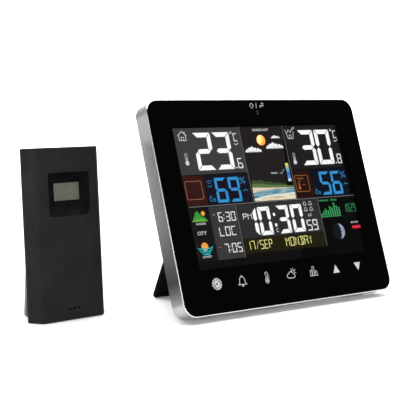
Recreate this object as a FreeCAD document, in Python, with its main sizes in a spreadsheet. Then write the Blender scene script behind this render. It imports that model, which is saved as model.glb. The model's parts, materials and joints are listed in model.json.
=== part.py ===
import FreeCAD, Part
import Sketcher
import math
import os

# Home weather station: a display console that leans back on a fold-out stand, and its wireless
# outdoor sensor. Millimetres, +Z up, +X to the right, +Y to the back. The origin is on the table
# in the middle of the ground the pair covers. Each unit is drawn upright in its own frame and
# then leaned back and set on the table by the placement of its leading piece.

os.makedirs("parts", exist_ok=True)
doc = FreeCAD.newDocument("WeatherStation")

# ---------------------------------------------------------------- driving dimensions

SIZES = {
    # console on the table
    "console_x": 42.1,
    "console_y": -32.6,
    "console_lean": 20,
    # console front and frame
    "frame_width": 201,
    "frame_height": 156,
    "frame_corner": 10,
    "frame_front": 0.3,
    "frame_back": 15,
    "frame_wall": 2.2,
    "rim_width": 0.5,
    "rim_chamfer": 0.4,
    "glass_fit": 0.05,
    "glass_thick": 2,
    "glass_bevel": 0.35,
    "ledge_back": 3.4,
    "ledge_width": 8.5,
    "boss_radius": 3.4,
    "boss_inset_x": 5.5,
    "boss_inset_z": 8.5,
    # display stack
    "display_width": 166,
    "display_height": 106.4,
    "display_mid": 83.8,
    "display_front": 2.6,
    "display_thick": 2.1,
    "backlight_front": 4.8,
    "backlight_thick": 3,
    "tray_front": 2.1,
    "tray_wall": 1.6,
    "tray_gap": 0.7,
    "tray_floor": 7.9,
    "tray_thick": 1.4,
    # touch keys and boards
    "key_board_front": 2.05,
    "key_board_width": 160,
    "key_board_low": 10,
    "key_board_height": 17,
    "board_thick": 1,
    "key_first": -69.3,
    "key_pitch": 22.9,
    "key_height": 21,
    "key_pad_radius": 5,
    "key_pad_thick": 0.3,
    "main_board_width": 120,
    "main_board_low": 30,
    "main_board_height": 62,
    "main_board_front": 10,
    "main_board_thick": 1.6,
    "chip_side": 14,
    "chip_thick": 1.4,
    # back cover
    "cover_fit": 0.2,
    "flange_front": 13,
    "bulge_half_width": 86,
    "bulge_low": 16,
    "bulge_high": 144,
    "bulge_back": 26,
    "bulge_corner": 6,
    "bulge_chamfer": 1.8,
    "cover_wall": 2,
    # stand of the console
    "stand_width": 129,
    "stand_thick": 3.3,
    "stand_length": 91.2,
    "stand_corner": 3,
    "stand_side_gap": 0.6,
    "hinge_back": 24.15,
    "hinge_height": 91.5,
    "hinge_pin_radius": 1.25,
    "hinge_fit": 0.05,
    "hinge_pin_length": 7.2,
    "recess_floor": 22,
    "recess_wall": 4,
    # battery bay of the console
    "cell_radius": 5.25,
    "cell_length": 43.3,
    "cell_nub_radius": 1.9,
    "cell_nub_length": 1,
    "cell_pitch": 11,
    "spring_radius": 2.4,
    "spring_wire": 0.25,
    "spring_pitch": 1.05,
    "bay_middle": 120.5,
    "bay_half_width": 25.6,
    "bay_half_height": 16.9,
    "bay_front": 12.4,
    "bay_wall": 1.6,
    "cell_depth": 17.9,
    "door_half_width": 30,
    "door_low": 101.4,
    "door_high": 141.8,
    "door_front": 24.35,
    "door_back": 25.95,
    "tongue_width": 1,
    "tongue_back": 25.25,
    "slide_fit": 0.15,
    "overlap": 0.5,
    "bite": 0.4,
    "small_gap": 0.1,
    "hair": 0.01,
    # fittings in the cover
    "slot_width": 14,
    "slot_height": 1.2,
    "slot_pitch": 2.8,
    "slot_x": 72,
    "slot_middle": 120,
    "buzzer_radius": 6.5,
    "buzzer_depth": 6,
    "jack_height": 32,
    "jack_depth": 19.4,
    "jack_radius": 3.9,
    "jack_bore": 3,
    "jack_pin": 1,
    "jack_length": 13,
    "keyhole_radius": 4,
    "keyhole_slot": 2,
    "keyhole_x": 75.5,
    "keyhole_height": 82,
    "keyhole_rise": 7,
    "foot_x": 74,
    "foot_width": 18,
    "foot_back": 19.2,
    "foot_high": 5.6,
    # screws
    "screw_radius": 0.95,
    "thread_radius": 0.98,
    "screw_hole": 1.2,
    "screw_length": 9,
    "screw_head_radius": 2.1,
    "screw_head_height": 1,
    # outdoor sensor
    "sensor_x": -110,
    "sensor_y": 13.1,
    "sensor_turn": 4.64,
    "sensor_lean": 4.9,
    "sensor_width": 50.4,
    "sensor_height": 119.4,
    "sensor_depth": 20.6,
    "sensor_flare": 6.4,
    "sensor_flare_depth": 9,
    "sensor_flare_lip": 1.6,
    "sensor_edge": 5,
    "sensor_back_edge": 0.8,
    "sensor_top_edge": 0.9,
    "sensor_bottom_edge": 1.2,
    "sensor_wall": 1.5,
    "sensor_front_wall": 1.8,
    "sensor_view_margin": 0.6,
    "sensor_board_notch": 16,
    "sensor_floor": 3.6,
    "window_width": 34,
    "window_height": 30.2,
    "window_middle": 87,
    "window_thick": 1.1,
    "window_corner": 2,
    "sensor_lcd_x": -2,
    "sensor_lcd_height": 88.9,
    "sensor_lcd_width": 21.4,
    "sensor_lcd_tall": 12.1,
    "sensor_lcd_thick": 2.2,
    "probe_hole": 0.9,
    "probe_pitch": 3.7,
    "probe_height": 7.9,
    "back_plate_front": 15.2,
    "back_plate_back": 17.8,
    "back_block_low": 82,
    "sensor_hinge_height": 80,
    "sensor_hinge_back": 19.25,
    "sensor_stand_thick": 2.6,
    "sensor_stand_gap": 2.7,
    "sensor_stand_open": 8.4,
    "sensor_pin_radius": 0.8,
    "sensor_pin_length": 6.5,
    "sensor_door_front": 16.5,
    "sensor_door_half": 14,
    "sensor_door_low": 2.4,
    "sensor_door_high": 60,
    "tub_half_width": 12.2,
    "tub_wall": 1.1,
    "tub_front": 4.1,
    "tub_low": 4,
    "tub_high": 59.4,
    "sensor_cell_pitch": 10.9,
    "sensor_cell_depth": 10.6,
    "sensor_cell_low": 8.6,
    "sensor_board_width": 38,
    "sensor_board_low": 64,
    "sensor_board_height": 50,
    "sensor_board_front": 6.4,
    "sensor_boss_x": 20.2,
    "sensor_boss_low": 10,
    "sensor_boss_high": 74,
    "sensor_boss_radius": 2.6,
    "hang_radius": 3.5,
    "hang_slot": 1.75,
    "hang_height": 104,
    "hang_rise": 5.5,
}

# sizes that follow from the driving ones
DERIVED = {
    "frame_middle": "frame_height / 2",
    "glass_width": "frame_width - 2 * rim_width",
    "glass_height": "frame_height - 2 * rim_width",
    "glass_corner": "frame_corner - rim_width",
    "seat_width": "glass_width + 2 * glass_fit",
    "seat_height": "glass_height + 2 * glass_fit",
    "seat_corner": "glass_corner + glass_fit",
    "opening_width": "frame_width - 2 * ledge_width",
    "opening_height": "frame_height - 2 * ledge_width",
    "inner_width": "frame_width - 2 * frame_wall",
    "inner_height": "frame_height - 2 * frame_wall",
    "inner_corner": "frame_corner - frame_wall",
    "panel_width": "stand_width - 16",
    "panel_height": "stand_length - 24",
    "panel_middle": "-stand_length / 2 - 2",
    "window_seat_width": "window_width + 2 * glass_fit",
    "window_seat_height": "window_height + 2 * glass_fit",
    "cell_shift": "bay_half_width - 0.8 - (cell_length + cell_nub_length) / 2",
}

sheet = doc.addObject("Spreadsheet::Sheet", "sizes")
NAMES = [*SIZES, *DERIVED]
for row, alias in enumerate(NAMES, start=1):
    content = str(SIZES[alias]) if alias in SIZES else "=" + DERIVED[alias]
    sheet.set(f"A{row}", alias)
    sheet.set(f"B{row}", content)
    sheet.setAlias(f"B{row}", alias)
doc.recompute()

finished = {}


def value(alias):
    """A driving dimension as a number, read from the sheet."""
    return float(sheet.get(alias))


def linked(text):
    """An expression in which each name of a driving dimension points at the sheet."""
    words = []
    word = ""
    for letter in str(text) + " ":
        if letter.isalnum() or letter == "_":
            word += letter
            continue
        words.append(f"sizes.{word}" if word in NAMES else word)
        words.append(letter)
        word = ""
    return "".join(words).strip()


def bind(item, **links):
    for name, text in links.items():
        item.setExpression(name, linked(text))


def place(item, x, y, z):
    for letter, text in (("x", x), ("y", y), ("z", z)):
        item.setExpression("Placement.Base." + letter, linked(text))


# ---------------------------------------------------------------- solids bound to the sheet


def block(name, x, y, z):
    """A box from three spans, each a pair of start and end."""
    item = doc.addObject("Part::Box", name)
    bind(
        item,
        Length=f"({x[1]}) - ({x[0]})",
        Width=f"({y[1]}) - ({y[0]})",
        Height=f"({z[1]}) - ({z[0]})",
    )
    place(item, x[0], y[0], z[0])
    return item


TURNS = {
    "x": FreeCAD.Rotation(FreeCAD.Vector(0, 1, 0), 90),
    "y": FreeCAD.Rotation(FreeCAD.Vector(1, 0, 0), -90),
    "z": FreeCAD.Rotation(),
}


def rod(name, way, radius, length, start):
    """A cylinder that starts at a point and runs along one axis."""
    item = doc.addObject("Part::Cylinder", name)
    item.Placement = FreeCAD.Placement(FreeCAD.Vector(), TURNS[way])
    bind(item, Radius=radius, Height=length)
    place(item, *start)
    return item


def both(half):
    return (f"-({half})", half)


def around(middle, half):
    return (f"({middle}) - ({half})", f"({middle}) + ({half})")


def join(name, *items):
    item = doc.addObject("Part::MultiFuse", name)
    item.Shapes = list(items)
    return item


def group(name, *items):
    item = doc.addObject("Part::Compound", name)
    item.Links = list(items)
    return item


def cut(name, base, *tools):
    item = doc.addObject("Part::Cut", name)
    item.Base = base
    item.Tool = tools[0] if len(tools) == 1 else join(name + "_tools", *tools)
    return item


def edges_at(shape, test):
    return [i for i, edge in enumerate(shape.Edges, start=1) if test(edge)]


def runs_along(edge, way):
    if not isinstance(edge.Curve, Part.Line):
        return False
    return abs(edge.Curve.Direction.dot(way)) > 0.999


def fillet(name, base, radius, test):
    doc.recompute()
    item = doc.addObject("Part::Fillet", name)
    item.Base = base
    item.Edges = [(i, radius, radius) for i in edges_at(base.Shape, test)]
    return item


def chamfer(name, base, size, test):
    doc.recompute()
    item = doc.addObject("Part::Chamfer", name)
    item.Base = base
    item.Edges = [(i, size, size) for i in edges_at(base.Shape, test)]
    return item


# ---------------------------------------------------------------- sketched bodies


def new_body(name):
    return doc.addObject("PartDesign::Body", name)


def new_sketch(body, name, plane, offset="0"):
    """A sketch on one of the body's own planes; offset moves it along that plane's normal."""
    sketch = body.newObject("Sketcher::SketchObject", name)
    for feature in body.Origin.OriginFeatures:
        if feature.Role == plane:
            sketch.AttachmentSupport = [(feature, "")]
    sketch.MapMode = "FlatFace"
    sketch.setExpression("AttachmentOffset.Base.z", linked(offset))
    return sketch


def rounded_outline(sketch, width, height, corner, middle):
    """A rounded rectangle centred left to right, its middle at a height; all four are aliases."""
    half_w = value(width) / 2
    half_h = value(height) / 2
    r = value(corner)
    mid = value(middle)
    vec = FreeCAD.Vector
    signs = ((1, 1), (-1, 1), (-1, -1), (1, -1))
    arcs = []
    for index, (sx, sz) in enumerate(signs):
        centre = vec(sx * (half_w - r), mid + sz * (half_h - r), 0)
        circle = Part.Circle(centre, vec(0, 0, 1), r)
        start = index * math.pi / 2
        arcs.append(sketch.addGeometry(Part.ArcOfCircle(circle, start, start + math.pi / 2)))
    lines = []
    for index in range(4):
        one = sketch.Geometry[arcs[index]].EndPoint
        two = sketch.Geometry[arcs[(index + 1) % 4]].StartPoint
        lines.append(sketch.addGeometry(Part.LineSegment(one, two)))
    add = sketch.addConstraint
    for index in range(4):
        add(Sketcher.Constraint("Tangent", arcs[index], 2, lines[index], 1))
        add(Sketcher.Constraint("Tangent", lines[index], 2, arcs[(index + 1) % 4], 1))
    for index in (0, 2):
        add(Sketcher.Constraint("Horizontal", lines[index]))
        add(Sketcher.Constraint("Vertical", lines[index + 1]))
    for index in range(1, 4):
        add(Sketcher.Constraint("Equal", arcs[0], arcs[index]))
    named = (
        ("corner", Sketcher.Constraint("Radius", arcs[0], r), corner),
        ("right", Sketcher.Constraint("DistanceX", -1, 1, lines[3], 1, half_w), f"{width} / 2"),
        ("left", Sketcher.Constraint("DistanceX", lines[1], 1, -1, 1, half_w), f"{width} / 2"),
        ("tall", Sketcher.Constraint("DistanceY", lines[2], 1, lines[0], 1, 2 * half_h), height),
        (
            "low",
            Sketcher.Constraint("DistanceY", -1, 1, lines[2], 1, mid - half_h),
            f"{middle} - {height} / 2",
        ),
    )
    for name, constraint, text in named:
        number = add(constraint)
        sketch.renameConstraint(number, name)
        sketch.setExpression("Constraints." + name, linked(text))


def closed_outline(sketch, points):
    """A closed run of straight lines through the points."""
    corners = [FreeCAD.Vector(x, y, 0) for x, y in points]
    count = len(corners)
    lines = [
        sketch.addGeometry(Part.LineSegment(corners[i], corners[(i + 1) % count]))
        for i in range(count)
    ]
    for i in range(count):
        sketch.addConstraint(
            Sketcher.Constraint("Coincident", lines[i], 2, lines[(i + 1) % count], 1)
        )


def pad(body, name, sketch, length, reverse=True):
    item = body.newObject("PartDesign::Pad", name)
    item.Profile = sketch
    item.Reversed = reverse
    bind(item, Length=length)
    return item


def pocket(body, name, sketch, length, reverse=False):
    doc.recompute()
    before = body.Shape.Volume
    item = body.newObject("PartDesign::Pocket", name)
    item.Profile = sketch
    item.Reversed = reverse
    bind(item, Length=length)
    doc.recompute()
    if item.Shape.Volume > before - 1e-6:
        raise RuntimeError(f"{name} takes nothing away")
    return item


def dress(body, name, kind, size, test):
    """A PartDesign fillet or chamfer on the edges of the body that pass a test."""
    doc.recompute()
    tip = body.Tip
    item = body.newObject("PartDesign::" + kind, name)
    item.Base = (tip, [f"Edge{i}" for i in edges_at(tip.Shape, test)])
    bind(item, **{"Radius" if kind == "Fillet" else "Size": size})
    doc.recompute()
    return item


def finish(node, item, leader=None, moved=None):
    """Names the sub-part and sets it in place, on its own or as its unit's leading piece is."""
    for other in doc.getObjectsByLabel(node):
        other.Label = node + "_blank"
    item.Label = node
    if moved is not None:
        item.Placement = moved
    elif leader is not None:
        item.setExpression("Placement", leader.Name + ".Placement")
    finished[node] = item
    return item


AXIS_X = FreeCAD.Vector(1, 0, 0)
AXIS_Y = FreeCAD.Vector(0, 1, 0)
AXIS_Z = FreeCAD.Vector(0, 0, 1)


def console_pose():
    """The console leans back about the rear bottom edge of its frame."""
    lean = FreeCAD.Rotation(AXIS_X, -value("console_lean"))
    foot = FreeCAD.Vector(value("console_x"), value("console_y"), 0)
    return FreeCAD.Placement(foot - lean.multVec(AXIS_Y * value("frame_back")), lean)


def sensor_pose():
    """The sensor leans back about its front bottom edge and is turned a little."""
    turn = FreeCAD.Rotation(value("sensor_turn"), 0, -value("sensor_lean"))
    return FreeCAD.Placement(FreeCAD.Vector(value("sensor_x"), value("sensor_y"), 0), turn)


# ---------------------------------------------------------------- console


def middle_frame():
    body = new_body("middle_frame")
    outer = new_sketch(body, "frame_outline", "XZ_Plane", "-frame_front")
    rounded_outline(outer, "frame_width", "frame_height", "frame_corner", "frame_middle")
    pad(body, "frame_block", outer, "frame_back - frame_front")

    def front_edge(edge):
        return abs(edge.BoundBox.YMax - value("frame_front")) < 1e-4

    def back_edge(edge):
        return abs(edge.BoundBox.YMin - value("frame_back")) < 1e-4

    dress(body, "polished_edge", "Chamfer", "rim_chamfer", front_edge)
    dress(body, "rear_edge", "Chamfer", "rim_chamfer", back_edge)
    seat = new_sketch(body, "glass_seat_outline", "XZ_Plane", "-frame_front")
    rounded_outline(seat, "seat_width", "seat_height", "seat_corner", "frame_middle")
    pocket(body, "glass_seat", seat, "glass_thick - frame_front")
    ledge = new_sketch(body, "ledge_outline", "XZ_Plane", "0")
    rounded_outline(ledge, "opening_width", "opening_height", "seat_corner", "frame_middle")
    pocket(body, "ledge_opening", ledge, "frame_back")
    inside = new_sketch(body, "inside_outline", "XZ_Plane", "-ledge_back")
    rounded_outline(inside, "inner_width", "inner_height", "inner_corner", "frame_middle")
    pocket(body, "inside", inside, "frame_back")
    bosses = new_sketch(body, "boss_outline", "XZ_Plane", "-ledge_back")
    for x, z in boss_points():
        bosses.addGeometry(
            Part.Circle(FreeCAD.Vector(x, z, 0), AXIS_Z, value("boss_radius"))
        )
    pad(body, "bosses", bosses, "flange_front - ledge_back - small_gap")
    holes = new_sketch(body, "boss_holes_outline", "XZ_Plane", "-flange_front")
    for x, z in boss_points():
        holes.addGeometry(
            Part.Circle(FreeCAD.Vector(x, z, 0), AXIS_Z, value("thread_radius"))
        )
    pocket(body, "boss_holes", holes, "screw_length - 1", reverse=True)
    return finish("middle_frame", body, moved=console_pose())


def boss_points():
    """Where the six screws of the back cover go."""
    x = value("frame_width") / 2 - value("boss_inset_x")
    low = value("boss_inset_z")
    high = value("frame_height") - low
    middle = value("frame_height") / 2
    return [(side * x, z) for side in (-1, 1) for z in (low, middle, high)]


def front_glass(frame):
    body = new_body("front_glass")
    outline = new_sketch(body, "glass_outline", "XZ_Plane", "0")
    rounded_outline(outline, "glass_width", "glass_height", "glass_corner", "frame_middle")
    pad(body, "glass_sheet", outline, "glass_thick")
    dress(
        body,
        "glass_bevel_edge",
        "Chamfer",
        "glass_bevel",
        lambda edge: abs(edge.BoundBox.YMax) < 1e-4,
    )
    return finish("front_glass", body, frame)


def flat_panel(node, frame, front, thick):
    """A plain sheet as large as the display: the display itself or its light guide."""
    x = both("display_width / 2")
    z = around("display_mid", "display_height / 2")
    sheet_block = block(node, x, (front, f"{front} + {thick}"), z)
    rounded = chamfer(node + "_edges", sheet_block, 0.3, lambda edge: runs_along(edge, AXIS_Y))
    return finish(node, rounded, frame)


def display_holder(frame):
    half_w = "display_width / 2 + tray_gap"
    half_h = "display_height / 2 + tray_gap"
    back = "tray_floor + tray_thick"
    tray = block(
        "tray_block",
        both(half_w + " + tray_wall"),
        ("tray_front", back),
        around("display_mid", half_h + " + tray_wall"),
    )
    room = block("tray_room", both(half_w), ("0", "tray_floor"), around("display_mid", half_h))
    windows = [
        block(
            f"tray_window_{number}",
            around(f"{side} * display_width / 4", "display_width / 6"),
            ("0", "frame_back"),
            around("display_mid", "display_height / 4"),
        )
        for number, side in enumerate((-1, 1), start=1)
    ]
    holder = cut("display_holder", tray, room, *windows)
    return finish("display_holder", holder, frame)


def touch_key_board(frame):
    front = "key_board_front"
    board = block(
        "touch_key_board",
        both("key_board_width / 2"),
        (front, f"{front} + board_thick"),
        ("key_board_low", "key_board_low + key_board_height"),
    )
    rounded = fillet("key_board_edges", board, 1.5, lambda edge: runs_along(edge, AXIS_Y))
    return finish("touch_key_board", rounded, frame)


def touch_key_pads(frame):
    pads = [
        rod(
            f"key_pad_{number}",
            "y",
            "key_pad_radius",
            "key_pad_thick",
            (f"key_first + {number} * key_pitch", "key_board_front + board_thick", "key_height"),
        )
        for number in range(7)
    ]
    return finish("touch_key_pads", group("touch_key_pads", *pads), frame)


def main_circuit_board(frame):
    x = both("main_board_width / 2")
    y = ("main_board_front", "main_board_front + main_board_thick")
    z = ("main_board_low", "main_board_low + main_board_height")
    board = block("main_board_block", x, y, z)
    holes = [
        rod(
            f"board_hole_{number}",
            "y",
            "1.6",
            "frame_back",
            (f"{sx} * (main_board_width / 2 - 4)", "0", f"main_board_low + {rise}"),
        )
        for number, (sx, rise) in enumerate(((-1, 4), (1, 4), (-1, 58), (1, 58)))
    ]
    return finish("main_circuit_board", cut("main_circuit_board", board, *holes), frame)


def controller_chip(frame):
    front = "main_board_front + main_board_thick"
    chip = block(
        "controller_chip",
        around("-15", "chip_side / 2"),
        (front, f"{front} + chip_thick"),
        around("62", "chip_side / 2"),
    )
    marked = chamfer("chip_edges", chip, 0.4, lambda edge: runs_along(edge, AXIS_Y))
    return finish("controller_chip", marked, frame)


def radio_receiver(frame):
    front = "main_board_front + main_board_thick"
    board = block("receiver_board", around("36", "10"), (front, f"{front} + 1"), around("70", "7"))
    can = block(
        "receiver_can", around("34", "6"), (f"{front} + 1", f"{front} + 3"), around("70", "5")
    )
    coil = rod("receiver_coil", "z", "1.2", "8", ("43", f"{front} + 2.1", "66"))
    return finish("radio_receiver", join("radio_receiver", board, can, coil), frame)


def indoor_sensor_element(frame):
    back = "bulge_back - cover_wall - 1"
    board = block(
        "element_board", around("-slot_x", "5"), (f"{back} - 1", back), around("slot_middle", "7")
    )
    bead = block(
        "element_bead",
        around("-slot_x", "1.6"),
        (f"{back} - 2.2", f"{back} - 1"),
        around("slot_middle", "1.6"),
    )
    return finish("indoor_sensor_element", join("indoor_sensor_element", board, bead), frame)


def buzzer(frame):
    body = new_body("buzzer")
    outline = new_sketch(body, "buzzer_outline", "XZ_Plane", "-(bulge_back - cover_wall - 0.3)")
    centre = FreeCAD.Vector(value("slot_x"), value("slot_middle"), 0)
    outline.addGeometry(Part.Circle(centre, AXIS_Z, value("buzzer_radius")))
    pad(body, "buzzer_can", outline, "buzzer_depth", reverse=False)
    mouth = new_sketch(body, "buzzer_mouth_outline", "XZ_Plane", "-(bulge_back - cover_wall - 0.3)")
    mouth.addGeometry(Part.Circle(centre, AXIS_Z, 1.2))
    pocket(body, "buzzer_mouth", mouth, "1.5", reverse=True)
    return finish("buzzer", body, frame)


def dc_power_socket(frame):
    right = "bulge_half_width - bite"
    inner = f"{right} - jack_length"
    housing = block(
        "jack_housing",
        (inner, "bulge_half_width - cover_wall - small_gap"),
        around("jack_depth", "4.4"),
        around("jack_height", "4.8"),
    )
    collar = rod(
        "jack_collar", "x", "jack_radius", "jack_length", (inner, "jack_depth", "jack_height")
    )
    bore = rod(
        "jack_bore_hole",
        "x",
        "jack_bore",
        "jack_length",
        (f"{inner} + 2.5", "jack_depth", "jack_height"),
    )
    pin = rod(
        "jack_pin_rod",
        "x",
        "jack_pin",
        "jack_length - 2",
        (f"{inner} + 1", "jack_depth", "jack_height"),
    )
    hollow = cut("jack_hollow", join("jack_body", housing, collar), bore)
    return finish("dc_power_socket", join("dc_power_socket", hollow, pin), frame)


def back_cover(frame):
    half = "bulge_half_width"
    flange = block(
        "flange_block",
        both("frame_width / 2 - frame_wall - cover_fit"),
        ("flange_front", "frame_back"),
        ("frame_wall + cover_fit", "frame_height - frame_wall - cover_fit"),
    )
    inner_corner = value("frame_corner") - value("frame_wall") - value("cover_fit")
    flange = fillet("flange_corners", flange, inner_corner, lambda e: runs_along(e, AXIS_Y))
    bulge = block(
        "bulge_block", both(half), ("flange_front", "bulge_back"), ("bulge_low", "bulge_high")
    )
    bulge = fillet(
        "bulge_corners", bulge, value("bulge_corner"), lambda e: runs_along(e, AXIS_Y)
    )
    bulge = chamfer(
        "bulge_rear_edge",
        bulge,
        value("bulge_chamfer"),
        lambda e: abs(e.BoundBox.YMin - value("bulge_back")) < 1e-4,
    )
    solid = join("cover_solid", flange, bulge)
    room = block(
        "cover_room",
        both(half + " - cover_wall"),
        ("0", "bulge_back - cover_wall"),
        ("bulge_low + cover_wall", "bulge_high - cover_wall"),
    )
    room = fillet(
        "cover_room_corners",
        room,
        value("bulge_corner") - value("cover_wall"),
        lambda e: runs_along(e, AXIS_Y),
    )
    shell = cut("cover_shell", solid, room)

    # the stand folds into a recess, the cells lie in a bay above it
    recess_half = "stand_width / 2 + stand_side_gap"
    recess_top = "hinge_height + stand_thick / 2 + 0.6"
    recess_box = block(
        "recess_box",
        both(recess_half + " + recess_wall"),
        ("recess_floor - cover_wall", "bulge_back - cover_wall / 2"),
        ("bulge_low + cover_wall / 2", recess_top + " + cover_wall"),
    )
    bay_box = block(
        "bay_box",
        both("door_half_width + tongue_width + 2.2"),
        ("bay_front - bay_wall", "bulge_back - cover_wall / 2"),
        ("bay_middle - bay_half_height - cover_wall", "bulge_high - cover_wall / 2"),
    )
    boxed = join("cover_boxed", shell, recess_box, bay_box)
    recess = block(
        "recess_room", both(recess_half), ("recess_floor", "bulge_back + 1"), ("0", recess_top)
    )
    bay = block(
        "bay_room",
        both("bay_half_width"),
        ("bay_front", "bulge_back + 1"),
        around("bay_middle", "bay_half_height"),
    )
    door_way = block(
        "door_way",
        both("door_half_width + slide_fit"),
        ("door_front - slide_fit", "bulge_back + 1"),
        ("door_low - slide_fit", "bulge_high + 1"),
    )
    door_groove = block(
        "door_groove",
        both("door_half_width + tongue_width + slide_fit"),
        ("door_front - slide_fit", "tongue_back + slide_fit"),
        ("door_low - slide_fit", "bulge_high + 1"),
    )
    hinge_holes = rod(
        "hinge_holes",
        "x",
        "hinge_pin_radius",
        "2 * (stand_width / 2 + stand_side_gap + recess_wall - bite)",
        ("-(stand_width / 2 + stand_side_gap + recess_wall - bite)", "hinge_back", "hinge_height"),
    )
    jack_hole = rod(
        "jack_hole",
        "x",
        "jack_radius + small_gap",
        "cover_wall + 2",
        (half + " - cover_wall - 1", "jack_depth", "jack_height"),
    )
    cuts = [recess, bay, door_way, door_groove, hinge_holes, jack_hole]
    for side in (-1, 1):
        cuts += slots(f"slots_{'left' if side < 0 else 'right'}", side)
        cuts += keyhole(f"keyhole_{'left' if side < 0 else 'right'}", side)
    for number, (x, z) in enumerate(boss_points()):
        cuts.append(
            rod(f"cover_hole_{number}", "y", "screw_hole", "frame_back", (x, "flange_front - 1", z))
        )
        cuts.append(
            rod(
                f"head_hole_{number}",
                "y",
                "screw_head_radius + 0.2",
                "screw_head_height + 1",
                (x, "frame_back - screw_head_height - small_gap", z),
            )
        )
    return finish("back_cover", cut("back_cover", boxed, *cuts), frame)


def slots(name, side):
    """Six slots through the rear wall of the cover, for sound or air."""
    return [
        block(
            f"{name}_{number}",
            around(f"{side} * slot_x", "slot_width / 2"),
            ("bulge_back - cover_wall - 1", "bulge_back + 1"),
            around(f"slot_middle + {number - 2.5} * slot_pitch", "slot_height / 2"),
        )
        for number in range(6)
    ]


def keyhole(name, side):
    start = "bulge_back - cover_wall - 1"
    x = f"{side} * keyhole_x"
    entry = rod(name + "_entry", "y", "keyhole_radius", "cover_wall + 2", (x, start, "keyhole_height"))
    neck = block(
        name + "_neck",
        around(x, "keyhole_slot"),
        (start, "bulge_back + 1"),
        ("keyhole_height", "keyhole_height + keyhole_rise"),
    )
    end = rod(
        name + "_end",
        "y",
        "keyhole_slot",
        "cover_wall + 2",
        (x, start, "keyhole_height + keyhole_rise"),
    )
    return [entry, neck, end]


def screw(name, x, y, z):
    """A flat-headed screw driven in from the back; y is the back of its head."""
    head = rod(
        name + "_head",
        "y",
        "screw_head_radius",
        "screw_head_height",
        (x, f"{y} - screw_head_height", z),
    )
    shank = rod(
        name + "_shank",
        "y",
        "screw_radius",
        "screw_length - 2.5",
        (x, f"{y} - screw_length + 2", z),
    )
    whole = join(name + "_whole", head, shank)
    across = block(name + "_across", around(x, "1.3"), (f"{y} - 0.6", f"{y} + 1"), around(z, "0.25"))
    upright = block(name + "_up", around(x, "0.25"), (f"{y} - 0.6", f"{y} + 1"), around(z, "1.3"))
    return cut(name, whole, across, upright)


def cover_screws(frame):
    screws = [
        screw(f"cover_screw_{number}", x, "frame_back - 0.05", z)
        for number, (x, z) in enumerate(boss_points())
    ]
    return finish("cover_screws", group("cover_screws", *screws), frame)


def console_battery_door(frame):
    z = ("door_low", "door_high")
    plate = block("door_plate", both("door_half_width"), ("door_front", "door_back"), z)
    tongues = block(
        "door_tongues",
        both("door_half_width + tongue_width"),
        ("door_front", "tongue_back"),
        z,
    )
    grips = [
        block(
            f"door_grip_{number}",
            both("9"),
            ("door_back - overlap", "door_back + 1"),
            around(f"door_high - 5 - {number} * 2", "0.5"),
        )
        for number in range(5)
    ]
    door = cut("console_battery_door", join("door_solid", plate, tongues), *grips)
    return finish("console_battery_door", door, frame)


def cell(name, way, start, flip):
    """An AAA cell along one axis from its low end; its contact nub is at the far end or not."""
    place_of = {"x": 0, "z": 2}[way]
    low = list(start)
    can_start = list(low)
    nub_start = list(low)
    if flip:
        can_start[place_of] = f"({low[place_of]}) + cell_nub_length"
    else:
        nub_start[place_of] = f"({low[place_of]}) + cell_length - 0.5"
    can = rod(name + "_can", way, "cell_radius", "cell_length", can_start)
    can = chamfer(name + "_rim", can, 0.5, lambda e: not isinstance(e.Curve, Part.Line))
    nub = rod(name + "_nub", way, "cell_nub_radius", "cell_nub_length + overlap", nub_start)
    return join(name, can, nub)


def cell_rows():
    """Heights of the three cells of the console and which way round each lies."""
    return [(f"bay_middle + {step} * cell_pitch", step != 0) for step in (-1, 0, 1)]


def console_batteries(frame):
    cells = []
    for number, (height, flip) in enumerate(cell_rows()):
        shift = "- cell_shift" if flip else "+ cell_shift"
        start = f"-(cell_length + cell_nub_length) / 2 {shift}"
        cells.append(
            cell(f"console_cell_{number}", "x", (start, "cell_depth", height), flip)
        )
    return finish("console_batteries", group("console_batteries", *cells), frame)


def spring(name, way, start, tall):
    """A coil contact that presses on the flat end of a cell."""
    coil = doc.addObject("Part::Helix", name + "_path")
    bind(coil, Pitch="spring_pitch", Height=str(tall), Radius="spring_radius")
    coil.SegmentLength = 0.5
    wire = doc.addObject("Part::Circle", name + "_wire")
    wire.Placement = FreeCAD.Placement(FreeCAD.Vector(), FreeCAD.Rotation(AXIS_X, 90))
    bind(wire, Radius="spring_wire")
    place(wire, "spring_radius", "0", "0")
    doc.recompute()
    sweep = doc.addObject("Part::Sweep", name)
    sweep.Sections = [wire]
    sweep.Spine = (coil, [f"Edge{i}" for i, _ in enumerate(coil.Shape.Edges, start=1)])
    sweep.Solid = True
    sweep.Frenet = True
    sweep.Placement = FreeCAD.Placement(FreeCAD.Vector(), TURNS[way])
    place(sweep, *start)
    return sweep


def console_contact_springs(frame):
    springs = []
    for number, (height, flip) in enumerate(cell_rows()):
        start = "bay_half_width - 5.55" if flip else "-bay_half_width + 0.8"
        springs.append(
            spring(f"console_spring_{number}", "x", (start, "cell_depth", height), 4.7)
        )
    return finish("console_contact_springs", group("console_contact_springs", *springs), frame)


def console_contact_plates(frame):
    plates = []
    for side in (-1, 1):
        for number, (height, _) in enumerate(cell_rows()):
            span = ("bay_half_width - overlap", "bay_half_width - small_gap")
            if side < 0:
                span = ("-bay_half_width + small_gap", "-bay_half_width + overlap")
            plates.append(
                block(
                    f"contact_plate_{'left' if side < 0 else 'right'}_{number}",
                    span,
                    around("cell_depth", "4"),
                    around(height, "4.2"),
                )
            )
    return finish("console_contact_plates", group("console_contact_plates", *plates), frame)


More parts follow.
